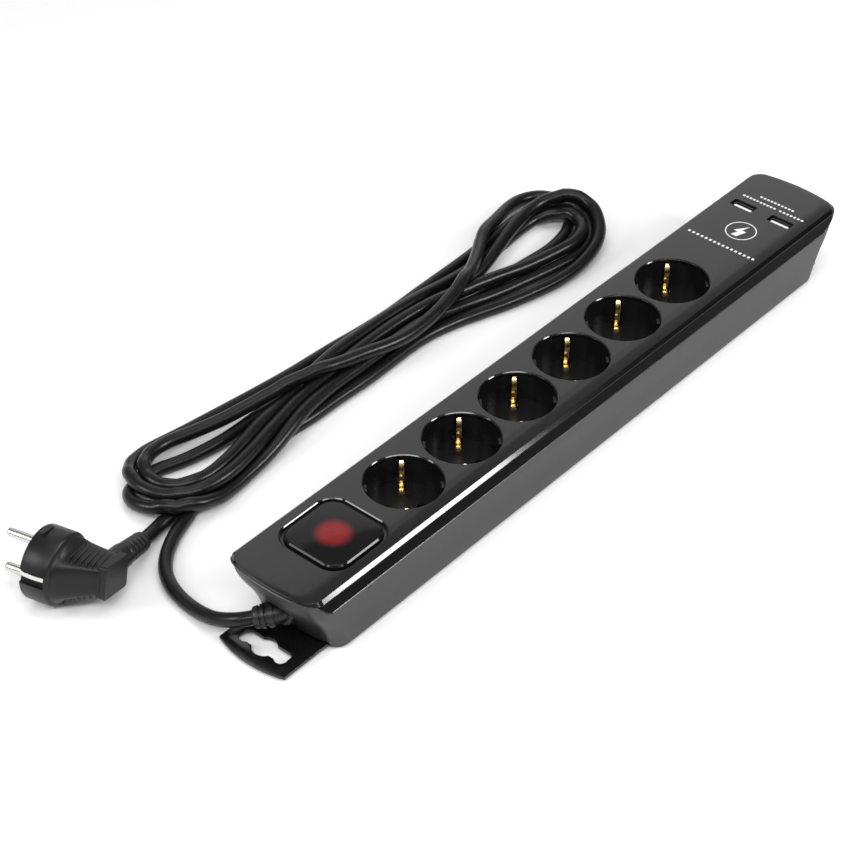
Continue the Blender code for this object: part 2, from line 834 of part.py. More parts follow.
def board(ends, low):
    high = low + BOARD_THICKNESS
    return box((ends[0], -BOARD_HALF_WIDTH, low), (ends[1], BOARD_HALF_WIDTH, high))


def make_surge_stage():
    finish(board(SURGE_BOARD, SURGE_BOARD_Z), "surge_board", BOARD_GREEN)
    middle = SURGE_BOARD_Z + BOARD_THICKNESS + GAP + VARISTOR_RADIUS
    half = VARISTOR_THICKNESS / 2
    for index, x in enumerate(VARISTORS_X):
        disc = cylinder(VARISTOR_RADIUS, (x - half, 0, middle), (x + half, 0, middle))
        finish(disc, f"varistor_{index + 1}", VARISTOR_BLUE)


# Wall brackets


def bracket_outline(tip):
    """Plan of a bracket pointing along +X, whose tip corners are at x = tip."""
    half = BRACKET_WIDTH / 2
    arc = []
    steps = 8
    for step in range(steps + 1):
        y = half * (2 * step / steps - 1)
        arc.append((tip + BRACKET_BULGE * (1 - (y / half) ** 2), y))
    back = tip - BRACKET_LENGTH
    return arc + [(back, half), (back, -half)]


def hook_hole(tip):
    """The hole that hooks on a screw: a slot with one wide and two narrow bays."""
    inner = tip - 13.4 * MM
    outline = rounded_rectangle((7.6 * MM, 29 * MM), 2.4 * MM, 4)
    slot = [(x + inner + 3.8 * MM, y) for x, y in outline]
    return slot, [(inner + 4.4 * MM, 0, 6.4 * MM)] + [
        (inner + 5.4 * MM, side * 11.4 * MM, 3.3 * MM) for side in (-1, 1)
    ]


def make_bracket(name, side, tip):
    """A sliding hanger, with its origin on the line that it slides along."""
    low, high = BRACKET_Z, BRACKET_Z + BRACKET_THICKNESS
    turn = Matrix.Rotation(math.pi if side < 0 else 0, 4, "Z")
    plate = prism(bracket_outline(tip), low, high, turn)
    slot, bays = hook_hole(tip)
    cut(plate, prism(slot, low - 2 * MM, high + 2 * MM, turn))
    for x, y, radius in bays:
        place = turn @ Vector((x, y, 0))
        start = place + Vector((0, 0, low - 3 * MM))
        cut(plate, cylinder(radius, start, place + Vector((0, 0, high + 3 * MM)), 24))
    recess_low = (tip - 60 * MM, -16 * MM, high - 0.5 * MM)
    recess_high = (tip - 15.6 * MM, 16 * MM, high + 3 * MM)
    recess = box(recess_low, recess_high)
    recess.matrix_world = turn @ recess.matrix_world
    cut(plate, recess)
    finish(plate, name, SATIN_BLACK)


# Lead


def along(way):
    """A matrix that turns +Z to a direction."""
    return way.to_track_quat("Z", "Y").to_matrix().to_4x4()


def make_gland():
    """A moulded gland: through the end wall, then turned aside by 45 degrees."""
    neck = ((0, 11.8), (6.3, 11.5), (6.3, 2.0), (8.2, 2.0), (8.2, 0), (0, 0))
    outwards = Matrix.Translation((-200.5 * MM, 0, GLAND_Z)) @ along(Vector((-1, 0, 0)))
    gland = turned(in_mm(neck), 16, outwards)
    bpy.ops.mesh.primitive_uv_sphere_add(
        segments=16, ring_count=8, radius=GLAND_ELBOW_RADIUS, location=GLAND_ELBOW
    )
    join(gland, bpy.context.object)
    sleeve = ((0, 12), (5.2, 12), (5.4, 9.5), (4.9, 9.2), (4.9, 8.4), (5.9, 8.1), (6.1, 1), (0, 1))
    place = Matrix.Translation(GLAND_ELBOW) @ along(GLAND_EXIT_WAY)
    join(gland, turned(in_mm(sleeve), 16, place))
    finish(gland, "cord_gland", MATT_BLACK)


def make_cord_clamp():
    sheath_start, sheath_end = (-200.2 * MM, 0, GLAND_Z), (-187 * MM, 0, GLAND_Z)
    finish(cylinder(CORD_RADIUS, sheath_start, sheath_end, 16), "cord_sheath_end", CORD_BLACK)
    low, high = 21 * MM, 24 * MM
    bar = box((CLAMP_ENDS[0], -13 * MM, low), (CLAMP_ENDS[1], 13 * MM, high))
    profile = (
        (0, 26.3),
        (1.8, 26.3),
        (2.5, 25.6),
        (2.5, 24.3),
        (1.2, 24.3),
        (1.2, 15),
        (0, 14.4),
    )
    for index, side in ((1, -1), (2, 1)):
        x, y = clamp_screw_place(side)
        cut(bar, cylinder(CLAMP_SCREW_HOLE, (x, y, low - 3 * MM), (x, y, high + 4 * MM), 12))
        screw = turned(in_mm(profile), 16, Matrix.Translation((x, y, 0)))
        finish(screw, f"clamp_screw_{index}", STEEL)
    finish(bar, "cord_clamp", GREY_PLASTIC)


def make_inner_wires():
    half_route = (
        (-185.5, 2, 15.5), (-185.2, 7, 15.5), (-184, 11, 14.5), (-180, 12.2, 13),
        (-174, 12.2, 12),
    )
    earth_route = (
        (-185.3, 0, 18.8), (-183.5, 3, 22.4), (-178, 12, 22.8), (-168, 15, 22.4),
        (-156, 13, 22), (-150.5, 6, 20.4), (-149, 1.5, 18.9), (-147.6, 0, 18.8),
    )
    mirrored = [(x, -y, z) for x, y, z in half_route]
    for name, route, material in (
        ("live_wire", half_route, WIRE_BROWN),
        ("neutral_wire", mirrored, WIRE_BLUE),
        ("earth_wire", earth_route, WIRE_GREEN),
    ):
        points = [point * MM for point in smooth(route, 3)]
        finish(tube(points, WIRE_RADIUS), name, material)


def make_cord():
    """The lead from the gland to the hank, the hank, and the end at the plug."""
    start = GLAND_ELBOW + GLAND_EXIT_WAY * (GLAND_SLEEVE + GAP)
    route = [start, start + GLAND_EXIT_WAY * 4 * MM] + in_mm(LEAD_ROUTE)
    finish(tube(smooth(route, 2), CORD_RADIUS, 3), "cord_lead", CORD_BLACK)
    outline = [tuple(point) for point in smooth(in_mm(HANK_OUTLINE), 2, True)]
    finish(prism(outline, HANK_FLOOR_GAP, HANK_HEIGHT), "cord_hank", CORD_BLACK)
    boot_way = plug_frame_matrix().to_3x3() @ Vector((1, 0, 0))
    boot_end = plug_frame_matrix() @ Vector((BOOT_END + GAP, -PLUG_NECK_DEPTH, 0))
    route = [boot_end, boot_end + boot_way * 2 * MM] + in_mm(TAIL_ROUTE)
    finish(tube(smooth(route, 2), CORD_RADIUS, 3), "cord_tail", CORD_BLACK)


# Plug. Its own frame has +X along the lead, +Y along the pins and +Z from pin to pin.


def plug_frame_matrix():
    return (
        Matrix.Translation(PLUG_ORIGIN)
        @ Matrix.Rotation(PLUG_YAW, 4, "Z")
        @ Matrix.Rotation(PLUG_ROLL, 4, "Y")
    )


def plug_frame():
    frame = bpy.data.objects.new("plug_frame", None)
    PARTS.objects.link(frame)
    frame.matrix_world = plug_frame_matrix()
    return frame


def in_plug(obj):
    """Places a helper that was made in the plug's own frame."""
    obj.matrix_world = plug_frame_matrix() @ obj.matrix_world
    return obj


def make_plug_body():
    body = in_plug(cylinder(PLUG_RADIUS, (0, 0, 0), (0, -PLUG_FRONT_DEPTH, 0), 32))
    rings = []
    around = 24
    for depth, middle, half_x, half_z in PLUG_GRIP:
        ring = []
        for step in range(around):
            angle = 2 * math.pi * step / around
            x = (middle + half_x * math.cos(angle)) * MM
            ring.append((x, -depth * MM, half_z * math.sin(angle) * MM))
        rings.append(ring)
    join(body, in_plug(closed_loft(rings)))
    join(body, in_plug(box(*in_mm(PLUG_END_PLATE))))
    neck_start = (8 * MM, -PLUG_NECK_DEPTH, 0)
    neck_end = (BOOT_START - GAP, -PLUG_NECK_DEPTH, 0)
    join(body, in_plug(cylinder(PLUG_NECK_RADIUS, neck_start, neck_end, 24)))
    for side in (-1, 1):
        xs = sorted((side * 16.5 * MM, side * 21 * MM))
        cut(body, in_plug(box((xs[0], -14 * MM, -3.4 * MM), (xs[1], 2 * MM, 3.4 * MM))))
        z = side * PIN_OFFSET
        cut(body, in_plug(cylinder(PLUG_PIN_RADIUS + GAP, (0, -10 * MM, z), (0, 4 * MM, z), 16)))
    cut(body, in_plug(cylinder(2.8 * MM, (9 * MM, -9 * MM, 0), (9 * MM, 4 * MM, 0), 16)))
    finish(body, "plug_body", MATT_BLACK)


def closed_loft(rings):
    obj = loft(rings)
    shape = bmesh.new()
    shape.from_mesh(obj.data)
    bmesh.ops.holes_fill(shape, edges=shape.edges, sides=0)
    bmesh.ops.recalc_face_normals(shape, faces=shape.faces)
    shape.to_mesh(obj.data)
    shape.free()
    return obj


def make_plug_fittings(frame):
    for index, side in ((1, 1), (2, -1)):
        z = side * PIN_OFFSET
        root = -9.6 * MM
        profile = (
            (0, PLUG_PIN_LENGTH),
            (1.5 * MM, PLUG_PIN_LENGTH - 0.3 * MM),
            (PLUG_PIN_RADIUS, PLUG_PIN_LENGTH - 1.6 * MM),
            (PLUG_PIN_RADIUS, root),
            (0, root),
        )
        place = Matrix.Translation((0, 0, z)) @ along(Vector((0, 1, 0)))
        pin = turned(profile, 16, place)
        finish(pin, f"plug_pin_{index}", NICKEL, frame)
        xs = sorted((side * 17.3 * MM, side * 18.2 * MM))
        contact = box((xs[0], -13.5 * MM, -2.4 * MM), (xs[1], -0.4 * MM, 2.4 * MM))
        finish(contact, f"plug_earth_contact_{index}", NICKEL, frame)


def make_plug_boot(frame):
    """A tapered sleeve with ribs around the lead."""
    ribs = 5
    length = BOOT_END - BOOT_START
    profile = [(0, length)]
    for i in range(ribs, 0, -1):
        top = length * i / ribs
        radius = (5.9 - 0.16 * i) * MM
        profile += [(radius, top), (radius, top - 2.2 * MM), (radius - 1 * MM, top - 2.6 * MM)]
        profile += [(radius - 1 * MM, top - length / ribs + 0.3 * MM)]
    profile += [(5.6 * MM, 0), (0, 0)]
    place = Matrix.Translation((BOOT_START, -PLUG_NECK_DEPTH, 0)) @ along(Vector((1, 0, 0)))
    finish(turned(profile, 16, place), "plug_boot", MATT_BLACK, frame)


clear_scene()
PARTS = new_collection("power_strip")
CUTTERS = new_collection("cutters")

GLOSS_BLACK = new_material("gloss_black", (0.010, 0.010, 0.011), 0.12)
SMOKED_BLACK = new_material("smoked_black", (0.014, 0.012, 0.012), 0.10)
SATIN_BLACK = new_material("satin_black", (0.022, 0.022, 0.022), 0.45)
MATT_BLACK = new_material("matt_black", (0.020, 0.020, 0.021), 0.60)
CORD_BLACK = new_material("cord_black", (0.018, 0.018, 0.019), 0.42)
BRASS = new_material("brass", (0.80, 0.55, 0.22), 0.25, 1.0)
STEEL = new_material("steel", (0.60, 0.60, 0.62), 0.30, 1.0)
NICKEL = new_material("nickel", (0.78, 0.76, 0.70), 0.20, 1.0)
WHITE_PLASTIC = new_material("white_plastic", (0.80, 0.80, 0.78), 0.40)
GREY_PLASTIC = new_material("grey_plastic", (0.25, 0.25, 0.26), 0.50)
RED_LENS = new_material("red_lens", (0.55, 0.02, 0.03), 0.15)
BOARD_GREEN = new_material("board_green", (0.03, 0.18, 0.08), 0.45)
FERRITE = new_material("ferrite", (0.06, 0.06, 0.06), 0.60)
VARISTOR_BLUE = new_material("varistor_blue", (0.03, 0.10, 0.35), 0.40)
WIRE_BROWN = new_material("wire_brown", (0.20, 0.08, 0.03), 0.40)
WIRE_BLUE = new_material("wire_blue", (0.04, 0.12, 0.45), 0.40)
WIRE_GREEN = new_material("wire_green", (0.15, 0.45, 0.08), 0.40)

make_housing()
make_cover()
make_housing_screws()
for number, (socket_x, _) in enumerate(socket_places()):
    make_socket_well(number, socket_x)
    make_earth_clip(number, socket_x)
make_earth_rail()
make_contact_rail("live_rail", 1)
make_contact_rail("neutral_rail", -1)
make_button_guide()
make_button(button_frame())
make_switch_body()
make_button_spring()
make_indicator_lamp()
for number, port_side in ((1, 1), (2, -1)):
    make_usb_port(number, port_side)
make_usb_supply()
make_surge_stage()
make_bracket("near_bracket", -1, BRACKET_TIP_IN + BRACKET_TRAVEL)
make_bracket("far_bracket", 1, BRACKET_TIP_IN)
make_gland()
make_cord_clamp()
make_inner_wires()
make_cord()
make_plug_body()
plug_axes = plug_frame()
make_plug_fittings(plug_axes)
make_plug_boot(plug_axes)
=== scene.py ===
"""Looks of the power strip: fine meshes, materials, the settled lead, a studio and a camera.

Frame: +X towards the USB end, +Y towards the side where the lead lies, +Z up, and the
origin under the middle. Lengths are in millimetres unless a value says MM or metres.
"""

import math

import bmesh
import bpy
import numpy as np
from mathutils import Matrix, Vector


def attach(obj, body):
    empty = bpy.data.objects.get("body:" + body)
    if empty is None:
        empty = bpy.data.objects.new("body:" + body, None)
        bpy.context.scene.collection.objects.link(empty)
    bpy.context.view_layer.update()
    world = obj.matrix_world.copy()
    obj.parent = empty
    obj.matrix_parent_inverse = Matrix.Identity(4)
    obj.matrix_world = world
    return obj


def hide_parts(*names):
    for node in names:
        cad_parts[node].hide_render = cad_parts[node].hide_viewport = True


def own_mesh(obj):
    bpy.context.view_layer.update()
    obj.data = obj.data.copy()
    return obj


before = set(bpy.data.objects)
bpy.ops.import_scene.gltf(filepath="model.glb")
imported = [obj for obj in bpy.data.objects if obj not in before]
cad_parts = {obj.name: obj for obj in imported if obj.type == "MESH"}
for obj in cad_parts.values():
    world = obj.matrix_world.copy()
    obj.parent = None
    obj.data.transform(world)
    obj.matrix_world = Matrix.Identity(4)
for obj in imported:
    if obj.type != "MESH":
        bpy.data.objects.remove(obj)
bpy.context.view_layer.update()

MM = 0.001

# Camera: the angle and distance that the strip is seen from
CAMERA_PLACE = Vector((-811.9, -606.9, 827.0)) * MM
CAMERA_AIM = Vector((-82.5, 19.1, 41.0)) * MM
CAMERA_ROLL = math.radians(0.156)
CAMERA_LENS = 104.8
CAMERA_SENSOR = 36

# Strip, in millimetres
LENGTH = 440
WIDTH = 57
HEIGHT = 41
WALL = 2
PARTING_Z = 30
LIP_Z = 39.3
PARTING_RISE = (204, 216)
PARTING_GAP = 0.15
END_RADIUS = 100
CORNER_RADIUS = 6
BASE_HALF = 203
BASE_FILLET = 3
SIDE_LEAN = 0.5
EDGE_FACET = 2
# The housing's ends: (half length, height).
END_PROFILE = (
    (BASE_HALF, BASE_FILLET), (206.3, 11), (210.5, 19), (215, 26), (218, 33), (219.6, 39.5),
)
# The lip's section: (distance out from the side, height above the parting line).
TRIM_SECTION = ((-0.4, 0.4), (0, 0.4), (0.3, 0.1), (0.3, -0.05), (-0.4, -0.05))
# How the top rolls off towards its long edges: (distance from the edge, drop).
TOP_ROLL = (
    (0, 0.22), (1.5, 0.165), (3, 0.115), (4.5, 0.075), (6, 0.043), (8, 0.017), (10, 0.004), (12, 0),
)
# The same at the ends: a first step in, and then this share of the distance.
END_STEP = 0.8
END_SHARE = 0.3
# How far the cutters reach down through the cover.
HOLE_DEPTH = 6

# Sockets, with their earth clips
PITCH = 44
ROW_X = -11.6
WELL_RADIUS = 20
RIM_ROUND = 0.6
WELL_FLOOR = 23.5
WELL_FOOT = 21.5
WELL_OUTER = 21.6
SOCKET_TURN = math.radians(45)
PIN_OFFSET = 9.5
CLIP_SLOT = ((-2, 12.6), (2, 12.6), (2, 19.4), (-2, 19.4))
GUIDE_RIB = (
    (-2.5, 20.1), (-2.5, 18.6), (-2.1, 18.2), (-0.6, 18.2), (-0.4, 18.6),
    (0.4, 18.6), (0.6, 18.2), (2.1, 18.2), (2.5, 18.6), (2.5, 20.1),
)
# An earth clip: half its width, half its thickness, one arm as (radius, height), and its
# domed section as (share of the half width, share of the half thickness).
CLIP_HALF_WIDTH = 1.4
CLIP_HALF_THICKNESS = 0.4
CLIP_ARM = (
    (14, 20.1), (18.2, 20.3), (18.9, 21.2), (18.6, 24.2), (17.7, 27), (17.7, 29.4),
    (16.7, 31.8), (16.4, 34.6), (17.1, 37.2), (18.5, 38.8),
)
CLIP_SECTION = (
    (-1, -1), (-0.5, -1.25), (0, -1.35), (0.5, -1.25), (1, -1),
    (1, 1), (0.5, 0.75), (0, 0.65), (-0.5, 0.75), (-1, 1),
)
# The arm narrows over its last stretch, from this height up.
CLIP_TAPER = (36.5, 38.8)
CLIP_TAPER_SHARE = 0.28

# Button, with its spring
BUTTON_X = -172.3
OPENING = (43, 42)
OPENING_CORNER = 10.5
OPENING_CHAMFER = 0.7
PAD = (39, 38.6)
PAD_CORNER = 9
PAD_TOP = 41.4
PAD_WALL = 1.6
PAD_SKIRT = (33, 38)
# The pad's rounded edge: (distance in from the side, distance below the top).
PAD_EDGE = ((0, 1.3), (0.15, 0.9), (0.95, 0.1), (1.3, 0))
GLOW_RADIUS = 8.4
GLOW_STRENGTH = 0.24
SPRING_X = BUTTON_X + 12.5
SPRING_FOOT = 21.3
SPRING_RISE = 17.5
SPRING_TURNS = 4
SPRING_RADIUS = 3.3
SPRING_WIRE = 0.35

# USB ports
USB_X = 182.6
USB_Y = 12.4
USB_OPENING = (6.3, 14.6)
USB_SHELL = (5.7, 13.6)
USB_WALL = 0.5
USB_HEIGHTS = (26.4, 39.6)
USB_TONGUE_LONG = 11.2
USB_CONTACT_YS = (-3.5, -1.25, 1.25, 3.5)

# Underside
SCREW_XS = (-99.6, -11.6, 76.4)
SCREW_Y = 21.5
SCREW_HOLE = (3.3, 2.9)
SCREW_PROFILE = (
    (0.01, 0.35), (1.9, 0.4), (2.7, 0.8), (3, 1.5), (3, 2.3), (1.45, 2.3), (1.45, 21.5), (0.01, 24),
)
# The channel that a wall hanger slides in, and the window in the base below it.
CHANNEL_XS = (142, 220)
CHANNEL_HALF_WIDTH = 21.6
CHANNEL_HEIGHTS = (0.9, 3.3)
WINDOW = (38, 24, 3)
WINDOW_X = 176

# Rows of plain printed dashes on the cover: (x, first y, last y, pitch, dash width, dash depth).
MARK_ROWS = (
    (142.9, -21.5, 21, 2.9, 1.7, 1.5),
    (191.2, -21, -6.5, 2.3, 1.5, 1.5),
    (191.2, -2.5, 18, 2.3, 1.5, 1.5),
    (196, -11.5, 9.5, 2.3, 1.5, 1.5),
)
EMBLEM = (161, -0.9)
EMBLEM_RADIUS = 8.8
EMBLEM_LINE = 0.6
BOLT = ((-0.9, 6), (2.8, 6), (1, 1.5), (3.8, 1.5), (-1.9, -6.3), (-0.2, -0.7), (-3.1, -0.7))
PRINT_HEIGHT = 0.03

# Gland: where it bends, its hole in the end wall, and its rings as (distance, radius)
GLAND_Z = 17
GLAND_ELBOW = Vector((-211.5, 0, GLAND_Z))
GLAND_RADIUS = 5.4
GLAND_HOLE_RADIUS = 6.95
GLAND_RINGS = (
    (4.9, 6.15), (5.1, 5), (6.3, 5), (6.5, 6.1), (8.2, 6), (8.4, 5.1), (9, 5.1),
    (9.2, 5.7), (10.2, 5.5), (11.4, 5.3), (12, 4.8), (12, 3.8), (11.2, 3.75),
)

# Plug: its own frame has the pins along +Y and the lead leaving along +X
PLUG_FRAME = (
    Matrix.Translation((-261.1, 111, 19))
    @ Matrix.Rotation(math.radians(14), 4, "Z")
    @ Matrix.Rotation(math.radians(15), 4, "Y")
)
PLUG_RADIUS = 19.0
PLUG_LEAD_DEPTH = 28.6
# The round front: (radius, depth behind its face).
PLUG_DISC = (
    (0.01, 0), (17.4, 0), (18.6, 0.3), (PLUG_RADIUS, 1.2), (PLUG_RADIUS, 13.6), (18.7, 14.8),
    (17.6, 15.8), (15.5, 16.2), (0.01, 16.2),
)
# The grip behind the plug's round front: (depth, middle, half width, half height, squareness).
PLUG_GRIP = (
    (13, 0, 17.6, 17.6, 1), (16.2, 0.3, 17.2, 16.2, 0.9), (19, 1.5, 16.2, 12.6, 0.62),
    (23, 3.2, 14.6, 10.8, 0.5), (29, 6, 12.2, 9.2, 0.45), (35, 8.5, 10.2, 7.8, 0.42),
)
# Grip ridges: (depth, middle, half length, height of the surface) of each.
PLUG_RIBS = (
    (20.2, 0.6, 9.6, 11.9), (22.6, 1.6, 9.2, 11), (25, 2.6, 8.8, 10.2),
    (27.4, 3.6, 8.4, 9.6), (29.8, 4.8, 8, 9), (32.2, 6, 7.6, 8.4),
)
BOOT_RINGS = 5
BOOT_RING_PITCH = 3.3
# An earth strip in the plug's side: (place along the pins, how far it bows out).
EARTH_BOW = ((-13.4, -0.3), (-10.5, 0.1), (-7, 0.25), (-3.5, 0.1), (-0.5, -0.3))

# Studio. It is dark to the right of the strip, so the cover's slanted edge is black.
WORLD_STRENGTH = 0.35
DARK_WAY = Vector((0.66, -0.61, 0.45)).normalized()
DARK_STRENGTH = 0.03
FLOOR_SIZE = 6000
# Each soft box: name, place, what it faces, size, radiance, long way. Lengths are in metres.
STUDIO_LIGHTS = (
    ("front_box", (0.385, -0.7, 0.535), (-0.16, -0.028, 0.04), (0.23, 0.26), 30, (1, 0, 0)),
    ("left_box", (-0.93, 0.54, 0.59), (-0.22, 0, 0.04), (0.36, 0.36), 9, (1, 1, 0)),
    ("camera_box", (-0.64, -0.48, 1.0), (-0.05, 0.0, 0.04), (1.7, 0.16), 12, (1, -1, 0)),
    ("back_panel", (0.823, 0.844, 0.661), (0, 0.229, -0.136), (1.4, 0.7), 0.85, (0.77, -0.39, -0.5)),
    ("top_box", (0.0, 0.1, 1.4), (0, 0.05, 0), (0.9, 0.9), 2.0, (1, 0, 0)),
)

# Lead
CORD_DIAMETER = 7.4 * MM
CORD_EXIT = Vector((-219.9, 8.4, 15.2)) * MM
GLAND_WAY = Vector((-0.69, 0.69, -0.15)).normalized()
POINT_SPACING = 3.0
# How many points the gland and the plug hold still while the lead settles.
HELD_BY_GLAND = 38
HELD_BY_PLUG = 6
# The lead from the gland to the hank, in millimetres.
LEAD_ROUTE = (
    (-225.3, 15.8, 12.9), (-227.4, 26.3, 8.6), (-226.8, 38.5, 5.1), (-225.2, 50.5, 3.9),
    (-222.2, 61.5, 3.9), (-216.8, 71.2, 3.9), (-208.3, 79.5, 3.9), (-197.2, 86.2, 3.9),
    (-188.2, 90.0, 3.9),
)
# The hank, run by run and fold by fold, as it is laid before it settles. A point with no
# height lies on the floor.
ON_FLOOR = 4
FIRST_RUN = (
    (-177, 93.8), (-163, 97), (-148, 99.4), (-132, 100.4), (-112, 100), (-86, 99.4), (-61, 100.2),
    (-39, 99.8), (-18, 100.8), (12, 102.3, 4.5), (30, 98.6, 6), (46, 92.4, 7), (68, 84.4, 8),
    (98, 77.4, 9),
)
WIDE_FAR_FOLD = (
    (122, 76.6, 10), (143, 82, 12), (157.5, 95.5, 14), (160.5, 108, 15), (153.5, 120.4, 16),
    (140, 126.2, 17), (121.6, 125.6, 17), (99.5, 121.4, 16), (80, 117, 13),
)
SECOND_RUN = (
    (66, 116, 10), (46, 116.5, 6), (25, 117.5), (0, 118), (-20, 118.5), (-45, 119.7), (-70, 120.8),
    (-100, 121), (-125, 121), (-149, 125), (-168, 131.4),
)
LOW_NEAR_FOLD = (
    (-182, 131.6, 5), (-191, 125.6, 6), (-194, 115.5, 8), (-191, 104.6, 10), (-184, 96.3, 11.2),
    (-172.5, 92, 11.4), (-157, 92.6, 9), (-140, 94.6, 7),
)
THIRD_RUN = (
    (-120, 97, 8), (-100, 100, 10), (-80, 103, 10), (-45, 105.4, 10), (-20, 106.6, 10),
    (0, 107, 10.3), (20, 105.6, 9), (45, 101, 7), (65, 96, 5), (88, 91), (108, 87), (127.5, 85),
)
UNDER_FAR_FOLD = (
    (144.8, 89.4), (155.4, 99.2), (158.6, 112), (153.8, 123.8), (142, 130.6), (126, 132.2),
    (108, 131), (88, 129.4),
)
FOURTH_RUN = (
    (67.5, 127.8), (45, 126.6), (19.5, 126.4), (-10, 128.6), (-32, 130.8), (-62, 132.6),
    (-84, 134.8), (-105, 137.4), (-130, 140.6), (-148, 142.6, 4.5),
)
OUTER_NEAR_FOLD = (
    (-161, 142.9, 5), (-174, 139.6, 7), (-183, 131.5, 9), (-186, 119.6, 11.5), (-182.8, 107.7, 14),
    (-174, 99.4, 16), (-160, 95.2, 17), (-145, 95.6, 16), (-125, 98.8, 14),
)
FIFTH_RUN = (
    (-105, 103, 11), (-80, 108, 10), (-55, 111.5, 10), (-30, 113.5, 10), (0, 114.6, 10.3),
    (25, 112, 10), (50, 106.5, 9), (74, 100.6, 9), (92.4, 95, 9), (111, 90.4, 10),
)
INNER_FAR_FOLD = (
    (127.6, 87.6, 10), (141.5, 91.4, 11), (149, 102, 11), (147.5, 114.5, 11), (137.5, 123.2, 10),
    (121.5, 125.2, 9), (99, 123.4, 9),
)
SIXTH_RUN = (
    (73, 122.2, 10), (45, 121.6, 10), (20, 121.4, 10), (0, 121.8, 10), (-25, 121.4, 10),
    (-50, 119.6, 10), (-75, 115.8, 10), (-97, 111, 11), (-115, 106, 13), (-133, 101, 17),
)
INNER_NEAR_FOLD = (
    (-152, 98, 21), (-166.5, 100.4, 22), (-175.7, 108.8, 21), (-178.4, 119.4, 19),
    (-174.8, 130, 17), (-165, 136.8, 15), (-152, 137.4, 13), (-139, 133.8, 12), (-120, 128, 12),
    (-98, 122.6, 12),
)
SEVENTH_RUN = (
    (-75, 116, 15), (-57, 110, 15), (-37, 104.6, 14), (-12, 99, 12), (8, 98.8, 12), (26, 100.6, 13),
    (44, 104.2, 15), (62, 110.6, 17), (78, 119.4, 17), (92, 128, 15), (104, 134, 12),
    (117.8, 138.6, 9),
)
FIRST_FAR_FOLD = (
    (137.9, 144.2, 6), (152, 143.4, 5), (161.4, 136.2), (163.4, 125), (157.4, 113), (142, 103.4),
    (122, 99.4), (100, 100.4),
)
LAST_RUN = (
    (80, 102.4), (55, 105.6), (30, 108.6), (0, 110.4), (-30, 109.2), (-60, 108.2), (-90, 107.8),
    (-120, 107.4), (-150, 105.4), (-175, 101.6),
)
TAIL_ROUTE = ((-195.6, 98.2, 3.9), (-201.6, 96.6, 4.7), (-206.6, 95.2, 5.9), (-209.6, 94.37, 6.7))


def smooth(points, steps):
    """A Catmull-Rom curve through the points, with steps pieces between each two."""
    last = len(points) - 1
    made = []
    for i in range(last):
        a, b, c, d = (np.array(points[min(max(i + k, 0), last)], float) for k in (-1, 0, 1, 2))
        for step in range(steps):
            t = step / steps
            made.append(
                (2 * b + (c - a) * t + (2 * a - 5 * b + 4 * c - d) * t**2
                 + (3 * b - a - 3 * c + d) * t**3) / 2
            )
    made.append(np.array(points[last], float))
    return np.array(made)


def evenly(line, step):
    """The line again, with points about one step apart."""
    along = np.concatenate([[0], np.cumsum(np.linalg.norm(np.diff(line, axis=0), axis=1))])
    count = round(along[-1] / step)
    at = np.linspace(0, along[-1], count + 1)
    return np.stack([np.interp(at, along, line[:, k]) for k in range(3)], axis=1)


def close_pairs(points, apart, reach):
    """Pairs of points further along than apart that lie within reach of each other."""
    squares = (points**2).sum(1)
    gaps = squares[:, None] + squares[None, :] - 2 * points @ points.T
    first, second = np.nonzero(np.triu(gaps < reach**2, apart))
    return first, second


def middle_offset(points, stride):
    """How far each point lies from the middle between the points one stride away."""
    return (points[:-2 * stride] + points[2 * stride:]) / 2 - points[stride:-stride]


def settle(points, held_at_start, held_at_end, rounds=360):
    """Lets the laid lead sink, bend and push apart until its turns lie on each other.

    Every length here is in millimetres. The ends stay where they are held.
    """
    sink, back_to_plan, unbend, unkink = 0.05, 0.06, 0.2, 0.3
    spacing = np.linalg.norm(np.diff(points, axis=0), axis=1).mean()
    diameter = CORD_DIAMETER / MM
    thick = diameter + 0.12
    laid = points.copy()
    free = np.ones(len(points))
    free[:held_at_start] = 0
    free[len(points) - held_at_end:] = 0
    free = free[:, None]
    apart = round(2.2 * thick / spacing)
    stride = round(1.5 * diameter / spacing)
    set_in = middle_offset(laid, stride) * (1, 1, 0)
    for turn in range(rounds):
        calm = turn / rounds
        if turn % 8 == 0:
            first, second = close_pairs(points, apart, thick + 6)
        points[:, 2] -= sink * free[:, 0]
        points[:, :2] += back_to_plan * (1 - 0.7 * calm) * (laid - points)[:, :2] * free
        bent = middle_offset(points, stride) - set_in
        points[stride:-stride] += unbend * bent * free[stride:-stride]
        kinked = middle_offset(points, 1)
        points[1:-1] += unkink * kinked * free[1:-1]
        for _ in range(3):
            way = points[second] - points[first]
            far = np.maximum(np.linalg.norm(way, axis=1), 1e-6)
            short = np.maximum(thick - far, 0)
            push = way * (0.5 * short / far)[:, None]
            moved = np.zeros_like(points)
            touched = np.zeros(len(points))
            np.add.at(moved, first, -push)
            np.add.at(moved, second, push)
            np.add.at(touched, first, short > 0)
            np.add.at(touched, second, short > 0)
            points += moved / np.maximum(touched, 1)[:, None] * 1.4 * free
            points[:, 2] = np.maximum(points[:, 2], diameter / 2 + 0.1)
        for _ in range(4):
            way = np.diff(points, axis=0)
            far = np.linalg.norm(way, axis=1)
            pull = way * (0.5 * (far - spacing) / far)[:, None] * 0.9
            points[:-1] += pull * free[:-1]
            points[1:] -= pull * free[1:]
    return points


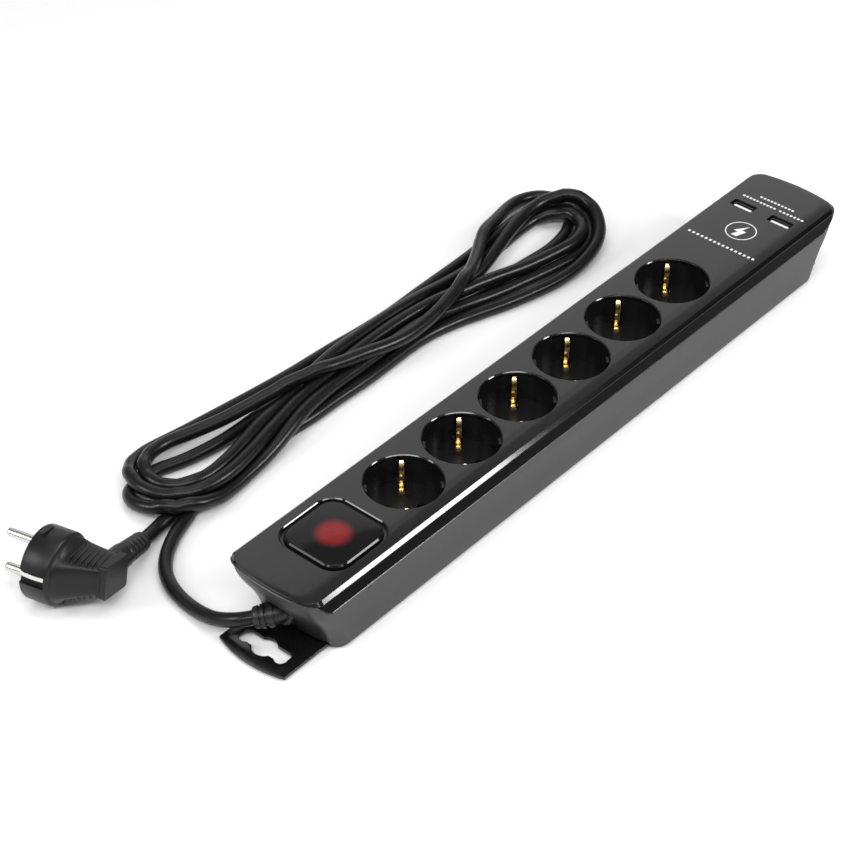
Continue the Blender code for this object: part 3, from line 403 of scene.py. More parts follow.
def lead_line():
    """The whole lead's middle line, from the gland to the plug's boot, in metres."""
    start = CORD_EXIT / MM
    sleeve = tuple(start - GLAND_WAY * 6)
    laid = (sleeve, tuple(start), tuple(start + GLAND_WAY * 4)) + LEAD_ROUTE
    for stretch in (
        FIRST_RUN, WIDE_FAR_FOLD, SECOND_RUN, LOW_NEAR_FOLD, THIRD_RUN, UNDER_FAR_FOLD,
        FOURTH_RUN, OUTER_NEAR_FOLD, FIFTH_RUN, INNER_FAR_FOLD, SIXTH_RUN, INNER_NEAR_FOLD,
        SEVENTH_RUN, FIRST_FAR_FOLD, LAST_RUN, TAIL_ROUTE,
    ):
        laid += tuple((*point, ON_FLOOR)[:3] for point in stretch)
    points = evenly(smooth(laid, 8), POINT_SPACING)
    return settle(points, HELD_BY_GLAND, HELD_BY_PLUG) * MM


# Shapes


def new_object(name, data):
    obj = bpy.data.objects.new(name, data)
    bpy.context.scene.collection.objects.link(obj)
    return obj


def from_shape(name, shape):
    """An object from a bmesh in millimetres."""
    bmesh.ops.remove_doubles(shape, verts=shape.verts, dist=0.0005)
    bmesh.ops.recalc_face_normals(shape, faces=shape.faces)
    bmesh.ops.scale(shape, vec=(MM, MM, MM), verts=shape.verts)
    mesh = bpy.data.meshes.new(name)
    shape.to_mesh(mesh)
    shape.free()
    return new_object(name, mesh)


def add_skin(shape, rings, closed=True):
    """Adds a skin through rings of points, with a flat cap at both ends."""
    rows = [[shape.verts.new(point) for point in ring] for ring in rings]
    for low, high in zip(rows, rows[1:]):
        for i in range(len(low)):
            j = (i + 1) % len(low)
            shape.faces.new((low[i], low[j], high[j], high[i]))
    if closed:
        shape.faces.new(list(reversed(rows[0])))
        shape.faces.new(rows[-1])


def skin(name, *groups):
    """One mesh object from groups of rings in millimetres, each a closed form."""
    shape = bmesh.new()
    for rings in groups:
        add_skin(shape, rings)
    return from_shape(name, shape)


def circle(radius, count, centre=(0, 0)):
    return [
        (centre[0] + radius * math.cos(2 * math.pi * i / count),
         centre[1] + radius * math.sin(2 * math.pi * i / count))
        for i in range(count)
    ]


def raised(outline, height):
    return [(x, y, height) for x, y in outline]


def placed(matrix, rings):
    return [[tuple(matrix @ Vector(point)) for point in ring] for ring in rings]


def turned_rings(profile, count, matrix):
    """Rings of a profile of (radius, height) points turned about the matrix's Z."""
    rings = [raised(circle(max(radius, 0.01), count), height) for radius, height in profile]
    return placed(matrix, rings)


def quarter(centre, radius, start, end, steps):
    """Points of an arc in a profile plane, with its angles in degrees."""
    made = []
    for step in range(steps + 1):
        angle = math.radians(start + (end - start) * step / steps)
        made.append((centre[0] + radius * math.cos(angle), centre[1] + radius * math.sin(angle)))
    return made


def rounded_rectangle(width, depth, radius, steps=10):
    outline = []
    corners = ((1, 1), (-1, 1), (-1, -1), (1, -1))
    for turn, (sx, sy) in enumerate(corners):
        centre = (sx * (width / 2 - radius), sy * (depth / 2 - radius))
        outline += quarter(centre, radius, 90 * turn, 90 * turn + 90, steps)
    return outline


def shifted(outline, x, y):
    return [(px + x, py + y) for px, py in outline]


def slab(name, outline, low, high):
    return skin(name, [raised(outline, low), raised(outline, high)])


def swept_rings(path, radii, count):
    """Rings of the given radii along a path, without twist."""
    points = [Vector(point) for point in path]
    rings = []
    side = None
    for i, point in enumerate(points):
        way = (points[min(i + 1, len(points) - 1)] - points[max(i - 1, 0)]).normalized()
        if side is None:
            side = way.orthogonal().normalized()
        side = (side - way * side.dot(way)).normalized()
        other = way.cross(side)
        ring = []
        for step in range(count):
            angle = 2 * math.pi * step / count
            ring.append(tuple(point + (side * math.cos(angle) + other * math.sin(angle)) * radii[i]))
        rings.append(ring)
    return rings


def bake(obj):
    """Applies an object's modifiers."""
    graph = bpy.context.evaluated_depsgraph_get()
    mesh = bpy.data.meshes.new_from_object(obj.evaluated_get(graph), depsgraph=graph)
    obj.modifiers.clear()
    old = obj.data
    obj.data = mesh
    bpy.data.meshes.remove(old)


def merge_flats(obj, distance, angle):
    """Joins points that coincide, and makes flat faces whole again."""
    shape = bmesh.new()
    shape.from_mesh(obj.data)
    bmesh.ops.remove_doubles(shape, verts=shape.verts, dist=distance)
    bmesh.ops.dissolve_limit(
        shape, angle_limit=math.radians(angle), verts=shape.verts, edges=shape.edges
    )
    shape.to_mesh(obj.data)
    shape.free()


def cut(obj, *cutters):
    """Cuts other forms from a piece, and removes them."""
    for cutter in cutters:
        modifier = obj.modifiers.new("cut", "BOOLEAN")
        modifier.operation = "DIFFERENCE"
        modifier.solver = "EXACT"
        modifier.object = cutter
    bpy.context.view_layer.update()
    bake(obj)
    for cutter in cutters:
        bpy.data.objects.remove(cutter)
    merge_flats(obj, 0.000002, 0.4)


def soften(obj, width, segments=2, angle=32):
    """Rounds the sharp edges a little, as a moulded piece has them, and shades it smooth."""
    obj.data.shade_smooth()
    if width:
        modifier = obj.modifiers.new("edges", "BEVEL")
        modifier.width = width * MM
        modifier.segments = segments
        modifier.limit_method = "ANGLE"
        modifier.angle_limit = math.radians(angle)
        modifier.harden_normals = True
        modifier.use_clamp_overlap = False
        bake(obj)
    else:
        obj.data.set_sharp_from_angle(angle=math.radians(angle))
    return obj


def copy_of(name, source):
    """A copy of a CAD node's mesh, with its flat faces made whole again."""
    obj = new_object(name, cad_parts[source].data.copy())
    obj.data.materials.clear()
    merge_flats(obj, 0.000005, 0.6)
    return obj


def install(obj, material, slot, body, *nodes):
    """Gives a finished piece its material and its place in the joints, and hides the CAD nodes it
    stands for.
    """
    obj.data.materials.clear()
    obj.data.materials.append(MATERIALS[material])
    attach(obj, body)
    if nodes:
        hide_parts(*nodes)
    return obj


# Materials

MATERIALS = {}


def new_material(name):
    made = bpy.data.materials.new(name)
    made.use_nodes = True
    MATERIALS[name] = made
    return made.node_tree, made.node_tree.nodes["Principled BSDF"]


def node(tree, kind, **values):
    made = tree.nodes.new(kind)
    for key, value in values.items():
        setattr(made, key, value)
    return made


def noise(tree, coordinates, scale, detail=2.0):
    made = node(tree, "ShaderNodeTexNoise")
    made.inputs["Scale"].default_value = scale
    made.inputs["Detail"].default_value = detail
    tree.links.new(coordinates, made.inputs["Vector"])
    return made.outputs["Fac"]


def spread(tree, value, low, high, from_low=0.3, from_high=0.7):
    made = node(tree, "ShaderNodeMapRange")
    made.inputs["From Min"].default_value = from_low
    made.inputs["From Max"].default_value = from_high
    made.inputs["To Min"].default_value = low
    made.inputs["To Max"].default_value = high
    tree.links.new(value, made.inputs["Value"])
    return made.outputs["Result"]


def blend_colours(tree, factor, first, second):
    made = node(tree, "ShaderNodeMix", data_type="RGBA")
    made.inputs["A"].default_value = (*first, 1)
    made.inputs["B"].default_value = (*second, 1)
    tree.links.new(factor, made.inputs["Factor"])
    return made.outputs["Result"]


def add_bump(tree, shader, height, strength, distance):
    """A fine relief on the shader, with its depth in millimetres."""
    relief = node(tree, "ShaderNodeBump")
    relief.inputs["Strength"].default_value = strength
    relief.inputs["Distance"].default_value = distance * MM
    tree.links.new(height, relief.inputs["Height"])
    tree.links.new(relief.outputs["Normal"], shader.inputs["Normal"])


def plain_finish(
    name, colour, rough, metallic=0.0, grain=900.0, bump=0.05, vary=0.25, specular=0.5
):
    """A moulded or metal finish: slight changes of tone and gloss, and a fine grain."""
    tree, shader = new_material(name)
    place = node(tree, "ShaderNodeTexCoord").outputs["Object"]
    broad = noise(tree, place, 60.0, 3.0)
    darker = tuple(channel * (1 - vary) for channel in colour)
    tree.links.new(blend_colours(tree, broad, darker, colour), shader.inputs["Base Color"])
    fine = noise(tree, place, grain, 2.0)
    gloss = spread(tree, fine, rough * 0.85, rough * 1.15)
    tree.links.new(gloss, shader.inputs["Roughness"])
    shader.inputs["Metallic"].default_value = metallic
    shader.inputs["Specular IOR Level"].default_value = specular
    if bump:
        add_bump(tree, shader, fine, bump, 0.02)


def cover_finish():
    """Polished black plastic with the same gloss all over; below the slanted edge its reflection is
    turned almost off as painted shade, so the sides stay black.
    """
    tree, shader = new_material("gloss_black")
    place = node(tree, "ShaderNodeTexCoord").outputs["Object"]
    broad = noise(tree, place, 25.0, 2.0)
    tree.links.new(
        blend_colours(tree, broad, (0.0035, 0.0035, 0.0037), (0.0055, 0.0055, 0.0058)),
        shader.inputs["Base Color"],
    )
    fine = noise(tree, place, 300.0, 2.0)
    tree.links.new(spread(tree, fine, 0.1, 0.13), shader.inputs["Roughness"])
    split = node(tree, "ShaderNodeSeparateXYZ")
    tree.links.new(place, split.inputs["Vector"])
    # Painted shade: the specular level falls from 0.5 to 0.01 below the slanted edge, so the cover's
    # sides reflect almost nothing and read black.
    side_top = (HEIGHT - EDGE_FACET) * MM
    level = spread(tree, split.outputs["Z"], 0.01, 0.5, side_top - 0.4 * MM, side_top + 0.2 * MM)
    tree.links.new(level, shader.inputs["Specular IOR Level"])
    add_bump(tree, shader, noise(tree, place, 90.0, 1.0), 0.05, 0.01)


def pad_finish():
    """The button's pad: black and glossy, with a lit red disc in the middle."""
    tree, shader = new_material("lit_pad")
    place = node(tree, "ShaderNodeTexCoord").outputs["Object"]
    from_middle = node(tree, "ShaderNodeVectorMath", operation="SUBTRACT")
    from_middle.inputs[1].default_value = (BUTTON_X * MM, 0, 0)
    tree.links.new(place, from_middle.inputs[0])
    flat = node(tree, "ShaderNodeVectorMath", operation="MULTIPLY")
    flat.inputs[1].default_value = (1, 1, 0)
    tree.links.new(from_middle.outputs["Vector"], flat.inputs[0])
    far = node(tree, "ShaderNodeVectorMath", operation="LENGTH")
    tree.links.new(flat.outputs["Vector"], far.inputs[0])
    glow = node(tree, "ShaderNodeMapRange", interpolation_type="SMOOTHSTEP")
    glow.inputs["From Min"].default_value = GLOW_RADIUS * 1.35 * MM
    glow.inputs["From Max"].default_value = GLOW_RADIUS * 0.6 * MM
    tree.links.new(far.outputs["Value"], glow.inputs["Value"])
    dim, bright = 0.9 * GLOW_STRENGTH, 1.1 * GLOW_STRENGTH
    strength = node(tree, "ShaderNodeMath", operation="MULTIPLY")
    tree.links.new(glow.outputs["Result"], strength.inputs[0])
    tree.links.new(spread(tree, noise(tree, place, 700.0, 1.0), dim, bright), strength.inputs[1])
    tree.links.new(strength.outputs["Value"], shader.inputs["Emission Strength"])
    shader.inputs["Emission Color"].default_value = (1, 0.035, 0.04, 1)
    shader.inputs["Specular IOR Level"].default_value = 0.18
    shader.inputs["Base Color"].default_value = (0.005, 0.005, 0.0052, 1)
    tree.links.new(spread(tree, noise(tree, place, 300.0), 0.08, 0.14), shader.inputs["Roughness"])


def brushed_finish(name, colour, rough):
    """Stamped sheet metal with fine drawn lines along its height."""
    tree, shader = new_material(name)
    place = node(tree, "ShaderNodeTexCoord").outputs["Object"]
    stretched = node(tree, "ShaderNodeMapping")
    stretched.inputs["Scale"].default_value = (1, 1, 0.08)
    tree.links.new(place, stretched.inputs["Vector"])
    lines = noise(tree, stretched.outputs["Vector"], 2600.0, 3.0)
    broad = noise(tree, place, 220.0, 2.0)
    darker = tuple(channel * 0.86 for channel in colour)
    tree.links.new(blend_colours(tree, broad, darker, colour), shader.inputs["Base Color"])
    shader.inputs["Metallic"].default_value = 1.0
    tree.links.new(spread(tree, lines, rough * 0.7, rough * 1.3), shader.inputs["Roughness"])
    add_bump(tree, shader, lines, 0.08, 0.005)


def cord_finish():
    """The sheath: matt black PVC with a soft sheen, faint scuffs and a slight roll of its surface."""
    tree, shader = new_material("cord_black")
    place = node(tree, "ShaderNodeTexCoord").outputs["Object"]
    broad = noise(tree, place, 45.0, 3.0)
    tree.links.new(
        blend_colours(tree, broad, (0.0028, 0.0029, 0.003), (0.006, 0.006, 0.0063)),
        shader.inputs["Base Color"],
    )
    scuffs = noise(tree, place, 420.0, 4.0)
    tree.links.new(spread(tree, scuffs, 0.26, 0.36), shader.inputs["Roughness"])
    shader.inputs["Specular IOR Level"].default_value = 0.3
    add_bump(tree, shader, noise(tree, place, 160.0, 3.0), 0.2, 0.05)


def make_materials():
    cover_finish()
    pad_finish()
    cord_finish()
    plain_finish("trim_black", (0.005, 0.005, 0.0052), 0.3, bump=0)
    plain_finish("well_black", (0.006, 0.006, 0.0062), 0.28, grain=60.0, bump=0, specular=0.35)
    plain_finish("satin_black", (0.02, 0.02, 0.0205), 0.4, grain=2600.0, bump=0.3)
    plain_finish("bracket_black", (0.005, 0.005, 0.0052), 0.24, grain=600.0, bump=0.04)
    plain_finish("matt_black", (0.006, 0.006, 0.0063), 0.4, grain=2200.0, bump=0.3)
    plain_finish("plug_black", (0.005, 0.005, 0.0053), 0.4, grain=2400.0, bump=0.3, specular=0.34)
    plain_finish("port_steel", (0.16, 0.16, 0.165), 0.35, metallic=1.0)
    plain_finish("nickel", (0.66, 0.65, 0.61), 0.2, metallic=1.0, bump=0, vary=0.08)
    plain_finish("white_plastic", (0.8, 0.8, 0.79), 0.35, vary=0.06)
    plain_finish("white_print", (0.75, 0.76, 0.77), 0.5, vary=0.08)
    for name, colour, rough in (
        ("grey_plastic", (0.2, 0.2, 0.2), 0.45), ("red_lens", (0.5, 0.02, 0.02), 0.25),
        ("board_green", (0.02, 0.12, 0.05), 0.4), ("ferrite", (0.03, 0.03, 0.032), 0.7),
        ("varistor_blue", (0.03, 0.1, 0.35), 0.45), ("wire_brown", (0.12, 0.05, 0.02), 0.4),
        ("wire_blue", (0.02, 0.08, 0.35), 0.4), ("wire_green", (0.1, 0.3, 0.03), 0.4),
        ("smoked_black", (0.01, 0.004, 0.004), 0.12),
    ):
        plain_finish(name, colour, rough)
    brushed_finish("brass", (0.95, 0.71, 0.34), 0.27)
    brushed_finish("steel", (0.62, 0.62, 0.63), 0.3)


# Pieces


def strip_outline(half_length, half_width):
    """Plan of the strip at one height: two shallow end arcs with round corners."""
    straight = half_width - CORNER_RADIUS
    ys = [straight * i / 10 for i in range(10)]
    ys += [straight + CORNER_RADIUS * math.sin(math.radians(a)) for a in range(0, 91, 9)]
    across = [-y for y in reversed(ys[1:])] + ys
    end = []
    for y in across:
        over = min(max(abs(y) - straight, 0), CORNER_RADIUS)
        inset = y**2 / (2 * END_RADIUS) + CORNER_RADIUS - math.sqrt(CORNER_RADIUS**2 - over**2)
        end.append((half_length - inset, y))
    return end + [(-x, -y) for x, y in end]


def parting_line(offset):
    half = []
    for step in range(13):
        t = step / 12
        rise = t * t * (3 - 2 * t)
        x = PARTING_RISE[0] + (PARTING_RISE[1] - PARTING_RISE[0]) * t
        half.append((x, PARTING_Z + (LIP_Z - PARTING_Z) * rise + offset))
    half.append((LENGTH, LIP_Z + offset))
    return [(-x, z) for x, z in reversed(half)] + half


def across_strip(name, outline):
    """An outline in the XZ plane as a solid across the whole strip."""
    rings = [[(x, y, z) for x, z in outline] for y in (-WIDTH, WIDTH)]
    return skin(name, rings)


def screw_places():
    return [(x, side * SCREW_Y) for x in SCREW_XS for side in (-1, 1)]


def socket_xs():
    return [ROW_X + (i - 2.5) * PITCH for i in range(6)]


def make_cover():
    half = LENGTH / 2
    facet = EDGE_FACET - TOP_ROLL[0][1]
    sides = strip_outline(half, WIDTH / 2)
    rings = [raised(sides, z) for z in (PARTING_Z - 2, HEIGHT - EDGE_FACET)]
    for inset, drop in TOP_ROLL:
        outline = strip_outline(half - END_STEP - END_SHARE * inset, WIDTH / 2 - facet - inset)
        rings.append(raised(outline, HEIGHT - drop))
    cover = skin("cover_shell", rings)
    inner = strip_outline(half - WALL, WIDTH / 2 - WALL)
    cutters = [slab("cutter", inner, PARTING_Z - 4, HEIGHT - WALL)]
    profile = [
        (WELL_RADIUS, HEIGHT - HOLE_DEPTH), (WELL_RADIUS, HEIGHT - RIM_ROUND),
        (WELL_RADIUS + RIM_ROUND, HEIGHT), (WELL_RADIUS + RIM_ROUND + 1, HEIGHT + 1),
    ]
    for x in socket_xs():
        place = Matrix.Translation((x, 0, 0))
        cutters.append(skin("cutter", turned_rings(profile, 96, place)))
    opening = []
    for grow, height in (
        (0, HEIGHT - HOLE_DEPTH), (0, HEIGHT - OPENING_CHAMFER), (OPENING_CHAMFER, HEIGHT),
        (OPENING_CHAMFER + 1, HEIGHT + 1),
    ):
        wide, deep = OPENING[0] + 2 * grow, OPENING[1] + 2 * grow
        outline = rounded_rectangle(wide, deep, OPENING_CORNER + grow, 12)
        opening.append(raised(shifted(outline, BUTTON_X, 0), height))
    cutters.append(skin("cutter", opening))
    for side in (-1, 1):
        port = shifted(rounded_rectangle(*USB_OPENING, 0.8, 5), USB_X, side * USB_Y)
        cutters.append(slab("cutter", port, HEIGHT - HOLE_DEPTH, HEIGHT + 1))
    below = [(-LENGTH, 0), (LENGTH, 0)] + list(reversed(parting_line(PARTING_GAP)))
    cutters.append(across_strip("cutter", below))
    cut(cover, *cutters)
    soften(cover, 0.14)
    install(cover, "gloss_black", "gloss_black", "strip", "top_cover")


def make_housing():
    half_width = WIDTH / 2
    rings = []
    for angle in range(0, 90, 15):
        turn = math.radians(angle)
        inset = BASE_FILLET * (1 - math.sin(turn))
        outline = strip_outline(BASE_HALF - inset, half_width - SIDE_LEAN - inset)
        rings.append(raised(outline, BASE_FILLET * (1 - math.cos(turn))))
    for half_length, height in smooth(END_PROFILE, 3).tolist():
        lean = SIDE_LEAN * max(0, 1 - height / PARTING_Z)
        rings.append(raised(strip_outline(half_length, half_width - lean), height))
    housing = skin("housing_shell", rings)
    inner = [
        raised(strip_outline(half_length - WALL, half_width - WALL), height)
        for half_length, height in ((BASE_HALF, WALL + 4), (215, 26), (LENGTH / 2, HEIGHT))
    ]
    cutters = [skin("cutter", inner)]
    above = parting_line(-PARTING_GAP) + [(LENGTH, 2 * HEIGHT), (-LENGTH, 2 * HEIGHT)]
    cutters.append(across_strip("cutter", above))
    for side in (-1, 1):
        low, high = sorted(side * x for x in CHANNEL_XS)
        wide = CHANNEL_HALF_WIDTH
        channel = [(low, -wide), (high, -wide), (high, wide), (low, wide)]
        cutters.append(slab("cutter", channel, *CHANNEL_HEIGHTS))
        window = shifted(rounded_rectangle(*WINDOW), side * WINDOW_X, 0)
        cutters.append(slab("cutter", window, -1, 1.5))
    radius, depth = SCREW_HOLE
    for place in screw_places():
        cutters.append(slab("cutter", circle(radius, 32, place), -1, depth))
    hole = [[(x, y, z + GLAND_Z) for y, z in circle(GLAND_HOLE_RADIUS, 40)] for x in (-216, -203)]
    cutters.append(skin("cutter", hole))
    cut(housing, *cutters)
    soften(housing, 0.4, segments=1)
    install(housing, "satin_black", "satin_black", "strip", "bottom_housing")


def make_seam_trim():
    """The thin glossy lip that runs round the cover's lower edge."""
    line = parting_line(0)
    xs, zs = [x for x, _ in line], [z for _, z in line]
    ends = strip_outline(LENGTH / 2, WIDTH / 2)
    half = len(ends) // 2
    outline = []
    for arc in (ends[:half], ends[half:]):
        side = arc[-1][1]
        outline += arc
        between = [(x, side) for x in xs if abs(x) < abs(arc[-1][0])]
        outline += reversed(between) if arc[-1][0] > 0 else between
    rings = []
    for i, (x, y) in enumerate(outline):
        before, after = outline[i - 1], outline[(i + 1) % len(outline)]
        out = Vector((after[1] - before[1], before[0] - after[0])).normalized()
        z = float(np.interp(x, xs, zs))
        ring = []
        for away, up in TRIM_SECTION:
            ring.append((x + out.x * away, y + out.y * away, z + up))
        rings.append(ring)
    shape = bmesh.new()
    add_skin(shape, rings + rings[:1], closed=False)
    trim = from_shape("seam_trim", shape)
    soften(trim, 0)
    install(trim, "trim_black", "gloss_black", "strip")


def make_wells():
    profile = [
        (0, WELL_FLOOR), (WELL_RADIUS + 0.1, WELL_FLOOR), (WELL_RADIUS + 0.15, HEIGHT - 2.6),
        (WELL_OUTER, HEIGHT - 2.4), (WELL_OUTER, WELL_FOOT), (0, WELL_FOOT),
    ]
    pin_hole = ((3, WELL_FOOT - 1.5), (3, WELL_FLOOR - 0.4), (3.6, WELL_FLOOR + 0.5))
    for index, x in enumerate(socket_xs()):
        place = Matrix.Translation((x, 0, 0))
        turned = place @ Matrix.Rotation(SOCKET_TURN, 4, "Z")
        well = skin(f"well_{index + 1}", turned_rings(profile, 96, place))
        cutters = []
        for side in (-1, 1):
            pin = Matrix.Translation(turned @ Vector((0, side * PIN_OFFSET, 0)))
            cutters.append(skin("cutter", turned_rings(pin_hole, 32, pin)))
            slot = [tuple((turned @ Vector((side * b, a, 0))).xy) for a, b in CLIP_SLOT]
            cutters.append(slab("cutter", slot, WELL_FOOT - 1.5, WELL_FLOOR + 1.5))
        cut(well, *cutters)
        soften(well, 0)
        install(well, "well_black", "gloss_black", "strip", f"socket_well_{index + 1}")
        for side in (-1, 1):
            spots = [tuple((turned @ Vector((a, side * b, 0))).xy) for a, b in GUIDE_RIB]
            name = f"guide_rib_{index + 1}_{'ab'[side > 0]}"
            rib = slab(name, spots, WELL_FLOOR - 0.1, HEIGHT - 3.2)
            soften(rib, 0.15)
            install(rib, "well_black", "gloss_black", "strip")


def make_clips():
    arm = smooth(CLIP_ARM, 6).tolist()
    points = [Vector((r, z, 0)) for r, z in [(-r, z) for r, z in reversed(arm)] + arm]
    taper_from, taper_to = CLIP_TAPER
    for index, x in enumerate(socket_xs()):
        place = Matrix.Translation((x, 0, 0)) @ Matrix.Rotation(SOCKET_TURN, 4, "Z")
        rings = []
        for i, point in enumerate(points):
            way = (points[min(i + 1, len(points) - 1)] - points[max(i - 1, 0)]).normalized()
            out = Vector((way.y, -way.x, 0)) * CLIP_HALF_THICKNESS
            tip = max(0, (point.y - taper_from) / (taper_to - taper_from))
            wide = CLIP_HALF_WIDTH * (1 - CLIP_TAPER_SHARE * tip)
            ring = []
            for sideways, share in CLIP_SECTION:
                spot = point + out * share
                ring.append(tuple(place @ Vector((spot.x, sideways * wide, spot.y))))
            rings.append(ring)
        clip = skin(f"clip_{index + 1}", rings)
        soften(clip, 0.12)
        install(clip, "brass", "brass", "strip", f"earth_clip_{index + 1}")


def make_button():
    rings = [raised(rounded_rectangle(*PAD, PAD_CORNER, 12), z) for z in PAD_SKIRT]
    for inset, drop in PAD_EDGE:
        wide, deep = PAD[0] - 2 * inset, PAD[1] - 2 * inset
        outline = rounded_rectangle(wide, deep, PAD_CORNER - inset, 12)
        rings.append(raised(outline, PAD_TOP - drop))
    pad = skin("button_pad", placed(Matrix.Translation((BUTTON_X, 0, 0)), rings))
    wide, deep = PAD[0] - 2 * PAD_WALL, PAD[1] - 2 * PAD_WALL
    inner = rounded_rectangle(wide, deep, PAD_CORNER - PAD_WALL, 12)
    cut(pad, slab("cutter", shifted(inner, BUTTON_X, 0), PAD_SKIRT[0] - 1, PAD_TOP - 2))
    soften(pad, 0.1, angle=20)
    install(pad, "lit_pad", "smoked_black", "button", "button_cap")
    coil = []
    count = 40 * SPRING_TURNS
    for i in range(count + 1):
        angle = 2 * math.pi * SPRING_TURNS * i / count
        x, y = SPRING_RADIUS * math.cos(angle), SPRING_RADIUS * math.sin(angle)
        coil.append((SPRING_X + x, y, SPRING_FOOT + SPRING_RISE * i / count))
    spring = skin("spring_coil", swept_rings(coil, [SPRING_WIRE] * len(coil), 10))
    soften(spring, 0, angle=60)
    install(spring, "steel", "steel", "strip", "button_spring")
    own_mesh(spring)


def make_usb():
    wide, long = USB_SHELL
    low, high = USB_HEIGHTS
    floor = low + 1.3
    for index, side in enumerate((1, -1)):
        y = side * USB_Y
        outer = shifted(rounded_rectangle(wide, long, 1.0, 6), USB_X, y)
        hollow = rounded_rectangle(wide - 2 * USB_WALL, long - 2 * USB_WALL, 0.6, 6)
        shell = slab(f"usb_shell_{index + 1}", outer, low, high)
        cut(shell, slab("cutter", shifted(hollow, USB_X, y), low + 1, HEIGHT + 2))
        soften(shell, 0.12)
        install(shell, "port_steel", "steel", "strip", f"usb_port_{index + 1}")
        tongue = shifted(rounded_rectangle(1.8, USB_TONGUE_LONG, 0.3, 3), USB_X - 1.2, y)
        lip = shifted(rounded_rectangle(0.5, USB_TONGUE_LONG, 0.2, 3), USB_X + 0.5, y)
        insert = skin(
            f"usb_insert_{index + 1}", [raised(tongue, z) for z in (floor, high + 0.2)],
            [raised(lip, z) for z in (floor, high - 0.3)],
        )
        soften(insert, 0.15)
        install(insert, "white_plastic", "white_plastic", "strip", f"usb_tongue_{index + 1}")
        strips = []
        for step in USB_CONTACT_YS:
            strip = shifted(rounded_rectangle(0.14, 1.1, 0.05, 2), USB_X - 0.28, y + step)
            strips.append([raised(strip, z) for z in (30, high - 2.1)])
        contacts = skin(f"usb_contacts_{index + 1}", *strips)
        install(soften(contacts, 0), "brass", "brass", "strip")


def make_marks():
    """Plain printed marks: a bolt in a ring, and rows of dashes. No lettering."""
    low, high = HEIGHT, HEIGHT + PRINT_HEIGHT
    outer, inner = EMBLEM_RADIUS, EMBLEM_RADIUS - EMBLEM_LINE
    ring = [
        raised(circle(radius, 72, EMBLEM), z)
        for radius, z in ((outer, low), (outer, high), (inner, high), (inner, low), (outer, low))
    ]
    shape = bmesh.new()
    add_skin(shape, ring, closed=False)
    x, y = EMBLEM
    add_skin(shape, [[(x - b, y + a, z) for a, b in BOLT] for z in (low, high)])
    for row_x, first, last, pitch, width, depth in MARK_ROWS:
        count = round((last - first) / pitch)
        for i in range(count + 1):
            spot = first + (last - first) * i / count
            dash = shifted(rounded_rectangle(width, depth, 0.35, 2), row_x, spot)
            add_skin(shape, [raised(dash, low), raised(dash, high)])
    marks = from_shape("printed_marks", shape)
    install(soften(marks, 0), "white_print", "white_plastic", "strip")


def make_brackets():
    for body, source in (("near_hanger", "near_bracket"), ("far_hanger", "far_bracket")):
        plate = copy_of(f"{body}_plate", source)
        soften(plate, 0.2, angle=40)
        install(plate, "bracket_black", "satin_black", body, source)


def make_gland():
    """The strain relief: a collar in the end wall, a bend, and a ringed sleeve on the lead."""
    start = Vector((-207, 0, GLAND_Z))
    bend_end = GLAND_ELBOW + GLAND_WAY * 4.5
    path = [Vector((-201, 0, GLAND_Z)), Vector((-204, 0, GLAND_Z))]
    for step in range(9):
        t = step / 8
        path.append(start * (1 - t) ** 2 + GLAND_ELBOW * 2 * t * (1 - t) + bend_end * t * t)
    rings = swept_rings(path, [GLAND_RADIUS] * len(path), 40)
    along_lead = GLAND_WAY.to_track_quat("Z", "Y").to_matrix().to_4x4()
    place = Matrix.Translation(GLAND_ELBOW) @ along_lead
    sleeve = [(4.9, 1.0), (4.9, 1.9), (6.2, 2.1), (6.3, 3.9), (6.1, 4.7)]
    sleeve += [(radius, far) for far, radius in GLAND_RINGS]
    collar = [(6.2, -1.5), (7.5, -1.5), (7.5, 2.2), (7.2, 2.8), (6.2, 3.0)]
    wall = Matrix.Translation((-207.6, 0, GLAND_Z)) @ Matrix.Rotation(math.radians(-90), 4, "Y")
    gland = skin(
        "gland", rings, turned_rings(sleeve, 40, place), turned_rings(collar, 40, wall)
    )
    soften(gland, 0.12, angle=40)
    return install(gland, "matt_black", "matt_black", "strip", "cord_gland")


def in_plug(rings):
    return placed(PLUG_FRAME, rings)


def around_lead(radius, x):
    """A ring round the lead where it leaves the plug."""
    return [(x, y - PLUG_LEAD_DEPTH, z) for y, z in circle(radius, 40)]


def plug_grip_rings():
    rings = []
    for depth, middle, half_x, half_z, power in smooth(PLUG_GRIP, 5).tolist():
        ring = []
        for step in range(72):
            angle = 2 * math.pi * (step + 0.5) / 72
            c, s = math.cos(angle), math.sin(angle)
            x = middle + half_x * math.copysign(abs(c) ** power, c)
            ring.append((x, -depth, half_z * math.copysign(abs(s) ** power, s)))
        rings.append(ring)
    return rings


def plug_rib_rings():
    """Ridges across the sloping top and bottom of the grip, lower at their ends."""
    groups = []
    for side in (-1, 1):
        for depth, middle, half_x, half_z in PLUG_RIBS:
            rib = []
            for share in (-1.0, -0.94, -0.5, 0.0, 0.5, 0.94, 1.0):
                x = middle + half_x * share
                back = depth - 1.1 * share
                top = half_z - (0.9 if abs(share) == 1 else 0)
                low, high = sorted((side * (half_z - 2.5), side * (top + 0.4)))
                narrow, wide = (0.75, 0.4) if side > 0 else (0.4, 0.75)
                rib.append([
                    (x, -back - narrow, low), (x, -back + narrow, low),
                    (x, -back + wide, high), (x, -back - wide, high),
                ])
            groups.append(rib)
    return groups


